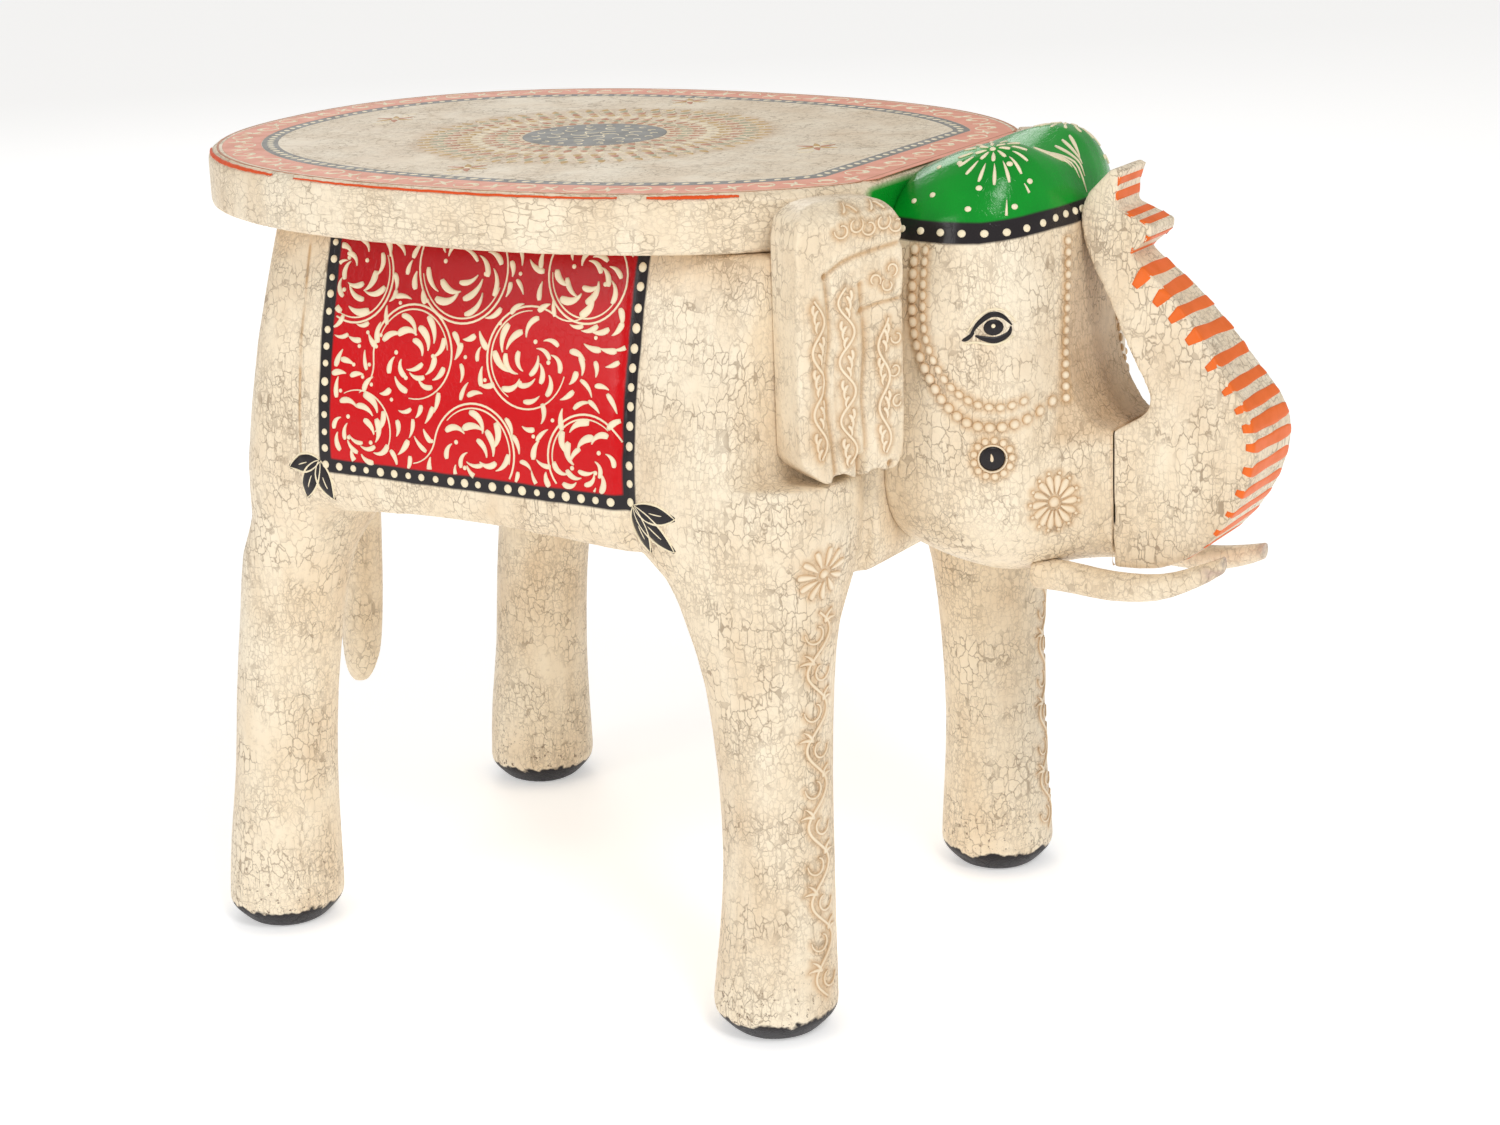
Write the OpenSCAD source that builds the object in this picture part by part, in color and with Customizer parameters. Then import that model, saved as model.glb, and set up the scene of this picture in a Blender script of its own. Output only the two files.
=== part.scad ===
// Carved wooden elephant stool: an oval seat on four round legs, with a head,
// a raised trunk, two ears, two tusks and a tail.
// Lengths are in millimetres. +X points the way the elephant looks, +Y to its left, +Z up.
// The origin is on the floor, in the middle of the stool's length and width.

/* [Seat] */
// Height of the seat's top face above the floor
seat_height = 300; // [270:1:340]
// Thickness of the seat board
seat_thickness = 20.5; // [16:0.5:26]
// Full width of the seat
seat_width = 243; // [238:1:280]
// Seat's reach behind its centre
seat_rear = 153; // [140:1:185]
// Curve length of the seat's front half, before it is cut straight
seat_front_curve = 160; // [150:1:190]
// Straight front edge of the seat, ahead of its centre
seat_front = 144.5; // [135:0.5:148]
// Squareness of the seat's outline (2 is an ellipse)
seat_squareness = 2.3; // [2:0.1:3]
// Rounding of the seat's top edge
seat_edge = 2.4; // [1:0.2:4]

/* [Legs] */
// Distance between the centres of the left and right feet
foot_spacing = 176; // [168:1:182]
// Front feet, ahead of the seat's centre
front_foot_x = 116; // [108:0.5:122]
// Rear feet, behind the seat's centre
rear_foot_x = 108; // [100:1:116]
// Diameter of a foot just above its painted chamfer
foot_diameter = 44.6; // [40:0.2:50]
// Diameter of a foot where it meets the floor
sole_diameter = 29; // [26:1:38]
// Height of the chamfer round a foot
foot_chamfer = 7; // [4:0.5:9]
// Diameter of a leg at its slimmest
shin_diameter = 39.6; // [34:0.2:44]

/* [Body] */
// Height of the belly above the floor, beside the legs
belly_height = 172; // [160:1:186]
// How much higher the belly arches between the legs
belly_arch = 6; // [2:1:10]
// Width of the inner block, between the glue faces of the legs
core_width = 116; // [96:1:124]
// Half width of the flank under the seat
flank_top = 93; // [88:1:98]
// How far the flank swells beyond its top
flank_swell = 17; // [10:1:20]
// Rounding of the flank into the belly
belly_round = 17; // [10:1:22]
// Glue face between the rear legs and the flank boards, behind the seat's centre
rear_joint_x = 66; // [60:1:72]
// Glue face between the front legs and the flank boards, ahead of the seat's centre
front_joint_x = 72; // [66:1:78]
// Rump's rearmost point, behind the seat's centre
rump_x = 115; // [108:1:122]
// Glue face between the inner block and the neck block
neck_joint_x = 110; // [104:1:114]
// Height of the chest's underside above the floor
chest_height = 163; // [155:1:172]

/* [Head] */
// Width of the flats that the ears are glued to
head_width = 110; // [104:1:116]
// Forehead's front face, ahead of the seat's centre
forehead_x = 199; // [195:1:203]
// Glue face between the head and the trunk, ahead of the seat's centre
muzzle_x = 215; // [211:1:219]
// How far the twin domes stand above the seat
dome_rise = 12; // [6:1:16]
// Depth of the valley between the twin domes
dome_valley = 9; // [4:1:12]
// Throat's underside, below the seat's top
throat_drop = 142; // [138:1:148]
// Floor of the slot between forehead and trunk, below the seat's top
slot_drop = 88; // [84:1:92]

/* [Trunk] */
// Trunk's foremost point, ahead of the seat's centre
trunk_reach = 266; // [262:1:276]
// Thickness of the trunk at its root
trunk_thickness = 35; // [28:1:40]
// Thickness of the trunk at its tip
trunk_tip_thickness = 20; // [16:1:28]

/* [Ears] */
// Width of an ear along its face
ear_width = 40; // [34:1:44]
// Thickness of an ear
ear_thickness = 18.6; // [12:0.2:19]
// Ear's lowest point, below the seat's top
ear_drop = 96; // [86:1:106]

/* [Tusks and tail] */
// Diameter of a tusk at its root
tusk_diameter = 11; // [8:0.2:12]
// Diameter of a tusk at its tip
tusk_tip_diameter = 6; // [4:0.2:7]
// Depth of a tusk's socket in the head
tusk_socket = 12; // [8:1:15]
// How much lower the left tusk's tip hangs than the right one's
tusk_skew = 9; // [0:0.5:10]
// How much shorter the left tusk is than the right one
tusk_short = 5; // [0:0.5:10]
// Width of the tail
tail_width = 17.5; // [12:0.5:20]
// Height of the tail's tip above the floor
tail_tip_height = 66; // [55:1:90]

/* [Dowels] */
// Diameter of the dowels in the legs, flanks and seat
dowel_diameter = 10; // [8:0.5:12]
// Length of the dowels in the legs and flanks
dowel_length = 40; // [30:1:44]
// Diameter of the dowels in the neck and head
head_dowel_diameter = 12; // [8:0.5:14]
// Diameter of the dowels in the trunk, ears and tail
small_dowel_diameter = 6; // [5:0.5:7]
// Gap round a dowel and at each of its ends
dowel_gap = 0.2; // [0.1:0.05:0.4]

/* [Hidden] */

// Colours of bare and painted wood
cream = "#e8d8b6";
shade = "#d9c49c";
green = "#1d8a3c";
red = "#b3121f";
orange = "#f08040";
bare_wood = "#b98b5a";

// The model is drawn round the seat's centre and then moved to the frame's origin.
frame_shift = (trunk_reach - seat_rear) / 2;
body_top = seat_height - seat_thickness;
half_core = core_width / 2;
half_head = head_width / 2;
flank_round_z = belly_height + belly_round;
flank_outer = flank_top + flank_swell;
cut = 400;
overlap = 1;

// Number of points round each kind of section, and of steps in a quarter turn
leg_sides = 32;
head_sides = 44;
seat_sides = 88;
tusk_sides = 16;
tail_sides = 20;
arc_steps = 8;

// ---- Curves and lofts ----

function power(value, exponent) = sign(value) * pow(abs(value), exponent);

// Rounded oval of half lengths rx and ry; squareness 2 is an ellipse.
function oval_point(rx, ry, squareness, angle) =
    [rx * power(cos(angle), 2 / squareness), ry * power(sin(angle), 2 / squareness)];

// Smooth curve through a list of stations, at a share t of the way from station i to the next.
function curve_at(list, i, t) =
    let (
        before = list[max(i - 1, 0)],
        from = list[i],
        to = list[i + 1],
        after = list[min(i + 2, len(list) - 1)]
    )
    0.5 * (2 * from + (to - before) * t + (2 * before - 5 * from + 4 * to - after) * t * t
        + (3 * from - before - 3 * to + after) * t * t * t);

function smooth_curve(list, steps) = concat(
    [for (i = [0 : len(list) - 2]) for (k = [0 : steps - 1]) curve_at(list, i, k / steps)],
    [list[len(list) - 1]]
);

// Solid through a stack of rings that have the same number of points each.
// Rings run anticlockwise when seen from the last ring towards the first.
module loft(rings) {
    sides = len(rings[0]);
    last = (len(rings) - 1) * sides;
    walls = [
        for (r = [0 : len(rings) - 2]) for (i = [0 : sides - 1])
            let (a = r * sides + i, b = r * sides + (i + 1) % sides)
            each [[a, a + sides, b], [b, a + sides, b + sides]]
    ];
    first_cap = [[for (i = [0 : sides - 1]) i]];
    last_cap = [[for (i = [sides - 1 : -1 : 0]) last + i]];
    polyhedron([for (ring = rings) each ring], concat(first_cap, walls, last_cap));
}

module in_frame() {
    translate([-frame_shift, 0, 0]) children();
}

// Right-hand pieces lie at negative Y. The left-hand ones mirror them.
module left_side() {
    mirror([0, 1, 0]) children();
}

// ---- Seat ----

function seat_reach(angle) = cos(angle) < 0 ? seat_rear : seat_front_curve;

// The outline starts at the rear, clear of the straight front edge.
function seat_outline(growth) = [
    for (i = [0 : seat_sides - 1])
        let (
            angle = 180 + 360 * i / seat_sides,
            p = oval_point(seat_reach(angle) + growth, seat_width / 2 + growth, seat_squareness, angle)
        )
        [min(p[0], seat_front + growth), p[1]]
];

function seat_ring(growth, height) = [for (p = seat_outline(growth)) [p[0], p[1], height]];

// Bevels run from just outside the board's side to just above its top face.
module seat_edge_shape() {
    loft([
        seat_ring(overlap, body_top - overlap),
        seat_ring(overlap, seat_height - 2 * seat_edge),
        seat_ring(-0.35 * seat_edge, seat_height - 0.6 * seat_edge),
        seat_ring(-1.3 * seat_edge, seat_height + 0.2 * seat_edge)
    ]);
}

seat_dowel_x = [-78, 84];
dowel_wall = 4;
seat_dowel_y = half_core - (dowel_length + dowel_diameter) / 2 - dowel_wall;
seat_dowel_rise = seat_thickness * 0.6;
seat_dowel_sink = 24;

module seat_top() {
    color(shade) in_frame() difference() {
        intersection() {
            translate([0, 0, body_top]) linear_extrude(seat_thickness) polygon(seat_outline(0));
            seat_edge_shape();
        }
        seat_dowel_row(dowel_gap);
    }
}

// ---- Dowels ----

// A dowel that points along +Z and is grown by gap all round.
module dowel(diameter, length, gap) {
    translate([0, 0, -gap]) cylinder(d = diameter + 2 * gap, h = length + 2 * gap, $fn = 32);
}

module seat_dowel_row(gap) {
    for (x = seat_dowel_x) for (side = [-1, 1])
        translate([x, side * seat_dowel_y, body_top - seat_dowel_sink])
            dowel(dowel_diameter, seat_dowel_sink + seat_dowel_rise, gap);
}

// Dowels that cross the right-hand glue face of the core or the neck block, half in each piece
module side_dowels(places, gap) {
    for (p = places)
        translate([p[0], -half_core - dowel_length / 2, p[1]])
            rotate([-90, 0, 0]) dowel(dowel_diameter, dowel_length, gap);
}

low_dowel_z = belly_height + 28;
high_dowel_z = body_top - 26;
front_leg_dowels = [[94, low_dowel_z], [neck_joint_x + 17, high_dowel_z]];
rear_leg_dowels = [[-88, low_dowel_z], [-84, high_dowel_z]];
flank_dowel_places = [[-34, (low_dowel_z + high_dowel_z) / 2], [36, (low_dowel_z + high_dowel_z) / 2]];

// Dowels that point along +X, half on each side of a glue face
module forward_dowels(joint_x, length, diameter, places, gap) {
    for (p = places)
        translate([joint_x - length / 2, p[0], p[1]])
            rotate([0, 90, 0]) dowel(diameter, length, gap);
}

neck_dowel_length = 36;
neck_dowel_z = (chest_height + body_top) / 2;
neck_dowel_places = [[-20, neck_dowel_z], [20, neck_dowel_z]];
head_dowel_length = 44;
low_head_dowel_z = neck_dowel_z - head_dowel_diameter - dowel_wall;
high_head_dowel_z = neck_dowel_z + head_dowel_diameter + dowel_wall;
head_dowel_places = [[-26, low_head_dowel_z], [26, low_head_dowel_z], [0, high_head_dowel_z]];
trunk_dowel_length = 24;
trunk_dowel_places = [[-8, seat_height - 118], [8, seat_height - 98]];

module neck_dowel_row(gap) {
    forward_dowels(neck_joint_x, neck_dowel_length, head_dowel_diameter, neck_dowel_places, gap);
}

module head_dowel_row(gap) {
    forward_dowels(seat_front, head_dowel_length, head_dowel_diameter, head_dowel_places, gap);
}

module trunk_dowel_row(gap) {
    forward_dowels(muzzle_x, trunk_dowel_length, small_dowel_diameter, trunk_dowel_places, gap);
}

// ---- Body ----

// Outline of the right flank board in the YZ plane: the swell is a sine, the belly edge an arc.
flank_profile = concat(
    [[-half_core, belly_height], [-half_core, body_top]],
    [
        for (k = [0 : arc_steps])
            let (t = k / arc_steps)
            [-flank_top - flank_swell * sin(90 * t), body_top + (flank_round_z - body_top) * t]
    ],
    [
        for (k = [1 : arc_steps])
            let (a = 90 * k / arc_steps)
            [
                -flank_outer + belly_round * (1 - cos(a)),
                flank_round_z - belly_round * sin(a)
            ]
    ]
);

// The belly is hollowed by a wide arc that crosses from flank to flank.
belly_span = (front_joint_x + rear_joint_x) / 2;
belly_radius = (belly_span * belly_span + belly_arch * belly_arch) / (2 * belly_arch);

module belly_hollow() {
    translate([(front_joint_x - rear_joint_x) / 2, -cut / 2, belly_height + belly_arch - belly_radius])
        rotate([-90, 0, 0]) cylinder(r = belly_radius, h = cut, $fn = 240);
}

module right_flank_solid() {
    difference() {
        translate([-rear_joint_x, 0, 0]) rotate([90, 0, 90])
            linear_extrude(rear_joint_x + front_joint_x) polygon(flank_profile);
        belly_hollow();
        side_dowels(flank_dowel_places, dowel_gap);
    }
}

module right_flank() {
    color(red) in_frame() right_flank_solid();
}

module left_flank() {
    color(red) in_frame() left_side() right_flank_solid();
}

// The rump is an arc that meets the haunches at the core's glue faces.
haunch_x = rump_x - 14;
rump_steps = 12;
core_plan = concat(
    [[neck_joint_x, -half_core], [neck_joint_x, half_core]],
    [
        for (k = [0 : rump_steps])
            let (t = 1 - 2 * k / rump_steps)
            [-haunch_x - (rump_x - haunch_x) * (1 - t * t), half_core * t]
    ]
);

module core_prism() {
    translate([0, 0, belly_height]) linear_extrude(body_top - belly_height) polygon(core_plan);
}

module body_core() {
    color(cream) in_frame() difference() {
        core_prism();
        belly_hollow();
        seat_dowel_row(dowel_gap);
        neck_dowel_row(dowel_gap);
        side_dowels(flank_dowel_places, dowel_gap);
        left_side() side_dowels(flank_dowel_places, dowel_gap);
        side_dowels(rear_leg_dowels, dowel_gap);
        left_side() side_dowels(rear_leg_dowels, dowel_gap);
        side_dowels([front_leg_dowels[0]], dowel_gap);
        left_side() side_dowels([front_leg_dowels[0]], dowel_gap);
        tail_dowel_solid(dowel_gap);
    }
}

// The chest's lower front edge is rounded.
chest_round = 8;
neck_profile = concat(
    [[neck_joint_x, chest_height], [neck_joint_x, body_top], [seat_front, body_top]],
    [
        for (k = [0 : arc_steps])
            let (a = 90 * k / arc_steps)
            [
                seat_front - chest_round * (1 - cos(a)),
                chest_height + chest_round * (1 - sin(a))
            ]
    ]
);

module neck_block() {
    color(cream) in_frame() difference() {
        translate([0, half_core, 0]) rotate([90, 0, 0]) linear_extrude(core_width) polygon(neck_profile);
        neck_dowel_row(dowel_gap);
        head_dowel_row(dowel_gap);
        side_dowels([front_leg_dowels[1]], dowel_gap);
        left_side() side_dowels([front_leg_dowels[1]], dowel_gap);
    }
}

// ---- Legs ----

foot_y = foot_spacing / 2;
foot_r = foot_diameter / 2;
shin_r = shin_diameter / 2;
shoulder_inner = half_core - 8;
flank_mid_z = (body_top + flank_round_z) / 2;
flank_mid = flank_top + flank_swell * sin(45);

// A station from the belly up, given by its rear and front, and by its half width outside.
function wide_station(height, rear, front, outer, squareness) = [
    height, (rear + front) / 2, (outer + shoulder_inner) / 2,
    (front - rear) / 2, (outer - shoulder_inner) / 2, squareness
];

// Each station is: height, middle in x and y, half lengths in x and y, squareness.
// The shins lean inwards from the feet.
front_leg_stations = [
    [0, front_foot_x, foot_y, sole_diameter / 2, sole_diameter / 2, 2],
    [foot_chamfer, front_foot_x, foot_y, foot_r - 0.8, foot_r - 0.8, 2],
    [foot_chamfer + 6, front_foot_x, foot_y, foot_r, foot_r, 2],
    [0.2 * belly_height, front_foot_x + 0.6, foot_y - 1.6, shin_r + 1.1, shin_r + 1.1, 2],
    [0.36 * belly_height, front_foot_x + 1.2, foot_y - 2.8, shin_r, shin_r, 2],
    [0.55 * belly_height, front_foot_x + 0.6, foot_y - 3.4, shin_r + 0.5, shin_r + 0.2, 2],
    [0.74 * belly_height, front_foot_x - 0.6, foot_y - 3.4, shin_r + 2.8, shin_r + 1.6, 2.1],
    [0.87 * belly_height, front_foot_x - 3, foot_y - 4, shin_r + 7, shin_r + 4.4, 2.2],
    wide_station(0.96 * belly_height, front_joint_x + 5, front_foot_x + 25, flank_outer - 3, 2.5),
    wide_station(flank_round_z, front_joint_x - 13, front_foot_x + 30, flank_outer + 1, 2.8),
    wide_station(flank_mid_z, front_joint_x - 13, front_foot_x + 28, flank_mid + 1, 3.2),
    wide_station(body_top, front_joint_x - 13, seat_front - 2, flank_top, 3.4)
];

rear_leg_stations = [
    [0, -rear_foot_x, foot_y, sole_diameter / 2, sole_diameter / 2, 2],
    [foot_chamfer, -rear_foot_x, foot_y, foot_r - 0.8, foot_r - 0.8, 2],
    [foot_chamfer + 6, -rear_foot_x + 0.5, foot_y, foot_r, foot_r, 2],
    [0.2 * belly_height, -rear_foot_x + 1.5, foot_y - 0.6, shin_r + 1.6, shin_r + 1.6, 2],
    [0.36 * belly_height, -rear_foot_x + 4, foot_y - 1.2, shin_r, shin_r, 2],
    [0.55 * belly_height, -rear_foot_x + 7, foot_y - 2, shin_r - 0.2, shin_r - 0.2, 2],
    [0.74 * belly_height, -rear_foot_x + 12, foot_y - 3, shin_r - 0.2, shin_r + 0.4, 2.1],
    [0.88 * belly_height, -rear_foot_x + 17, foot_y - 4, shin_r + 0.3, shin_r + 2.4, 2.2],
    wide_station(0.97 * belly_height, -haunch_x - 4, -rear_joint_x + 2, flank_outer - 3, 2.4),
    wide_station(flank_round_z, -haunch_x - 1.5, -rear_joint_x + 12, flank_outer, 2.6),
    wide_station(flank_mid_z, -haunch_x + 5, -rear_joint_x + 12, flank_mid, 2.7),
    wide_station(body_top, -haunch_x + 11, -rear_joint_x + 12, flank_top - 1, 2.8)
];

function leg_ring(s) = [
    for (i = [0 : leg_sides - 1])
        let (p = oval_point(s[3], s[4], s[5], 360 * i / leg_sides))
        [s[1] + p[0], p[1] - s[2], s[0]]
];

module leg_form(stations) {
    loft([for (s = smooth_curve(stations, 2)) leg_ring(s)]);
}

module front_right_leg_solid() {
    difference() {
        leg_form(front_leg_stations);
        translate([front_joint_x - cut, -cut / 2, belly_height]) cube([cut, cut, cut]);
        translate([0, -half_core, chest_height]) cube([cut, cut, cut]);
        ear_glue_space();
        side_dowels(front_leg_dowels, dowel_gap);
        ear_dowel_pair(dowel_gap);
    }
}

module rear_right_leg_solid() {
    difference() {
        leg_form(rear_leg_stations);
        translate([-rear_joint_x, -cut / 2, belly_height]) cube([cut, cut, cut]);
        translate([-cut / 2, -half_core, belly_height]) cube([cut, cut, cut]);
        side_dowels(rear_leg_dowels, dowel_gap);
    }
}

module front_right_leg() {
    color(cream) in_frame() front_right_leg_solid();
}

module front_left_leg() {
    color(cream) in_frame() left_side() front_right_leg_solid();
}

module rear_right_leg() {
    color(cream) in_frame() rear_right_leg_solid();
}

module rear_left_leg() {
    color(cream) in_frame() left_side() rear_right_leg_solid();
}

// ---- Head ----

slot_z = seat_height - slot_drop;
throat_z = seat_height - throat_drop;
half_trunk = trunk_thickness / 2;
face_x = forehead_x - seat_front;
muzzle_length = muzzle_x - forehead_x;

// Each station is: x, half width of the brow, half width of the jaw, top, underside.
head_stations = [
    [seat_front, half_head + 1, half_head - 2, seat_height, throat_z + 8],
    [seat_front + 0.26 * face_x, half_head + 1.6, half_head - 1, seat_height + 0.6 * dome_rise, throat_z + 3],
    [seat_front + 0.5 * face_x, half_head + 0.5, half_head - 2.5, seat_height + 0.97 * dome_rise, throat_z],
    [seat_front + 0.68 * face_x, half_head - 3, half_head - 5, seat_height + 0.95 * dome_rise, throat_z],
    [seat_front + 0.82 * face_x, half_head - 9, half_head - 10, seat_height + 0.55 * dome_rise, throat_z + 2],
    [seat_front + 0.92 * face_x, half_head - 18, half_head - 15, seat_height - 3, throat_z + 3],
    [forehead_x - 0.5, half_trunk + 6, half_head - 21, seat_height - 13, throat_z + 4],
    [forehead_x + 0.5 * muzzle_length, half_trunk, half_trunk + 9, seat_height - 22, throat_z + 5],
    [muzzle_x, half_trunk, half_trunk, seat_height - 24, throat_z + 5]
];

// The widest level of every section, and the levels where jaw widens to brow
head_mid_z = seat_height - 96;
jaw_level = seat_height - 100;
brow_level = seat_height - 62;
valley_width = 15;
crown_squareness = 3.6;
jaw_squareness = 2.7;

function ease(t) = let (u = min(max(t, 0), 1)) u * u * (3 - 2 * u);

function head_point(s, angle) =
    let (
        up = sin(angle) >= 0,
        squareness = up ? crown_squareness : jaw_squareness,
        lift = power(sin(angle), 2 / squareness),
        height = head_mid_z + lift * (up ? s[3] - head_mid_z : head_mid_z - s[4]),
        half_width = s[2] + (s[1] - s[2]) * ease((height - jaw_level) / (brow_level - jaw_level)),
        side = half_width * power(cos(angle), 2 / squareness),
        depth = dome_valley * min(max((s[3] - seat_height) / dome_rise, 0), 1),
        groove = up ? depth * exp(-pow(side / valley_width, 2)) * lift : 0
    )
    [s[0], side, height - groove];

function head_ring(s) = [for (i = [0 : head_sides - 1]) head_point(s, 360 * i / head_sides)];

module head_form() {
    loft([for (s = smooth_curve(head_stations, 3)) head_ring(s)]);
}

// Space beside the flat that the right ear is glued to
ear_flat_end = seat_front + 16;

module ear_flat() {
    translate([seat_front - cut, -half_head - cut, throat_z]) cube([cut + ear_flat_end - seat_front, cut, cut]);
}

// The forehead is upright, and curves forward into the slot's floor.
slot_rise = 24;
slot_profile = [
    [muzzle_x + cut, slot_z], [muzzle_x, slot_z],
    [forehead_x + 0.6 * muzzle_length, slot_z + 0.12 * slot_rise],
    [forehead_x + 0.3 * muzzle_length, slot_z + 0.4 * slot_rise],
    [forehead_x + 0.1 * muzzle_length, slot_z + 0.75 * slot_rise],
    [forehead_x, slot_z + slot_rise * 1.2],
    [forehead_x, seat_height + cut / 2], [muzzle_x + cut, seat_height + cut / 2]
];

module forehead_slot() {
    translate([0, cut / 2, 0]) rotate([90, 0, 0]) linear_extrude(cut) polygon(slot_profile);
}

module head() {
    color(green) in_frame() difference() {
        head_form();
        forehead_slot();
        ear_flat();
        left_side() ear_flat();
        tusk_bore();
        left_side() tusk_bore();
        head_dowel_row(dowel_gap);
        trunk_dowel_row(dowel_gap);
    }
}

// ---- Trunk ----

reach = trunk_reach - muzzle_x;

// Outer edge from the underside of the root up to the neck of the tip; x ahead of the muzzle's
// glue face, z below the seat's top.
trunk_outer = smooth_curve([
    [0, -136.5], [0.33 * reach, -135], [0.6 * reach, -128], [0.8 * reach, -117],
    [0.94 * reach, -104], [reach, -90], [0.94 * reach, -78], [0.78 * reach, -67],
    [0.57 * reach, -53], [0.35 * reach, -41], [0.14 * reach, -32]
], 3);

// Two lips at the tip
trunk_lips = [
    [0.05 * reach, -28], [0.2 * reach, -21.5], [0.21 * reach, -18], [-0.05 * reach, -12.5],
    [-0.04 * reach, -5], [0, 0], [-0.04 * reach, 1.2], [-0.1 * reach, 0]
];

// Inner edge down to the floor of the slot, clear of the forehead
trunk_inner = smooth_curve([
    [-13, -8], [forehead_x - muzzle_x + 0.3, -16], [forehead_x - muzzle_x + 3, -29], [-5, -43],
    [5, -62], [12, -74], [11, -81], [0, -slot_drop]
], 4);

function trunk_place(list) = [for (p = list) [muzzle_x + p[0], seat_height + p[1]]];

trunk_profile = concat(trunk_place(trunk_outer), trunk_place(trunk_lips), trunk_place(trunk_inner));

// Half thickness, seen from the front: even up to the slot, then tapering to the tip
trunk_front_view = [
    [-half_trunk, throat_z - overlap],
    [half_trunk, throat_z - overlap],
    [half_trunk, slot_z],
    [trunk_tip_thickness / 2, seat_height - 30],
    [trunk_tip_thickness / 2, seat_height + 20],
    [-trunk_tip_thickness / 2, seat_height + 20],
    [-trunk_tip_thickness / 2, seat_height - 30],
    [-half_trunk, slot_z]
];

module trunk() {
    color(orange) in_frame() difference() {
        intersection() {
            translate([0, half_trunk + overlap, 0]) rotate([90, 0, 0])
                linear_extrude(trunk_thickness + 2 * overlap) polygon(trunk_profile);
            translate([forehead_x - overlap, 0, 0]) rotate([90, 0, 90])
                linear_extrude(cut) polygon(trunk_front_view);
        }
        trunk_dowel_row(dowel_gap);
    }
}

// ---- Ears ----

// The ear stands on a slant: its rear edge flares out from the shoulder and its front edge
// meets the side of the head.
ear_front = [seat_front + 17, -half_head - 12];
ear_slant = 59.4;
ear_rear = ear_front - ear_width * [cos(ear_slant), sin(ear_slant)];
ear_inward = [-sin(ear_slant), cos(ear_slant)];
ear_back = ear_rear + ear_thickness * ear_inward;
ear_along = [cos(ear_slant), sin(ear_slant)];

// Plan of the ear, from its rear edge round its outer face to the flat on the head
ear_plan = [
    ear_rear,
    ear_front,
    [ear_flat_end, -half_head],
    ear_back + ear_along * ((-half_head - ear_back[1]) / ear_along[1]),
    ear_back
];

// The shoulder is cut back to a ledge: everything outside the ear's back face, above the
// ear's scalloped end.
module ear_glue_space() {
    translate([ear_back[0], ear_back[1], seat_height - ear_drop - overlap]) rotate([0, 0, ear_slant])
        translate([-cut / 2, -cut, 0]) cube([cut, cut, cut]);
}

// Face of the ear: distance from the rear edge, height below the seat's top
ear_face = smooth_curve([
    [0, -14], [0, -45], [0, -78], [0.02, -0.92 * ear_drop], [0.14, -0.97 * ear_drop],
    [0.26, -ear_drop], [0.4, -0.97 * ear_drop], [0.56, -ear_drop], [0.72, -0.97 * ear_drop],
    [0.88, -0.985 * ear_drop], [1, -0.88 * ear_drop], [1.01, -50], [1.01, -19],
    [0.96, -7], [0.84, -3], [0.5, -2], [0.2, -3], [0.04, -7]
], 3);

// The ear's top slopes down from the seat's edge to its outer face.
ear_slope = 9;
ear_side_view = [
    [-overlap, -ear_drop - overlap], [ear_thickness + overlap, -ear_drop - overlap],
    [ear_thickness + overlap, 0], [ear_thickness, 0],
    [0.4 * ear_thickness, -0.3 * ear_slope], [0.1 * ear_thickness, -0.7 * ear_slope],
    [0, -ear_slope], [-overlap, -ear_slope - 2]
];

module ear_side_prism() {
    translate([ear_rear[0], ear_rear[1], seat_height]) rotate([0, 0, ear_slant]) rotate([90, 0, 90])
        translate([0, 0, -ear_width]) linear_extrude(3 * ear_width) polygon(ear_side_view);
}

module ear_face_prism() {
    translate([ear_rear[0], ear_rear[1], seat_height]) rotate([90, 0, ear_slant])
        translate([0, 0, -ear_width]) linear_extrude(2 * ear_width)
            polygon([for (p = ear_face) [p[0] * ear_width, p[1]]]);
}

ear_dowel_length = 20;
ear_dowel_along = 0.34;
ear_dowel_drops = [36, 72];

module ear_dowel_pair(gap) {
    for (drop = ear_dowel_drops)
        translate([ear_back[0], ear_back[1], seat_height - drop]) rotate([0, 0, ear_slant])
            translate([ear_dowel_along * ear_width, -ear_dowel_length / 2, 0])
                rotate([-90, 0, 0]) dowel(small_dowel_diameter, ear_dowel_length, gap);
}

module ear_form() {
    intersection() {
        translate([0, 0, seat_height - cut / 2]) linear_extrude(cut) polygon(ear_plan);
        ear_face_prism();
        ear_side_prism();
    }
}

module right_ear_solid() {
    difference() {
        ear_form();
        translate([0, 0, body_top]) linear_extrude(cut) polygon(seat_outline(0));
        ear_dowel_pair(dowel_gap);
    }
}

module right_ear() {
    color(cream) in_frame() right_ear_solid();
}

module left_ear() {
    color(cream) in_frame() left_side() right_ear_solid();
}

// ---- Tusks ----

tusk_y = half_trunk + tusk_diameter / 2 + 0.3;
tusk_z = seat_height - 140;
tusk_root_x = forehead_x + 1;
tusk_run = trunk_reach - tusk_root_x - 7;

module tusk_bore() {
    translate([tusk_root_x - tusk_socket, -tusk_y, tusk_z]) rotate([0, 90, 0])
        cylinder(d = tusk_diameter + 2 * dowel_gap, h = cut, $fn = 32);
}

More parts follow.
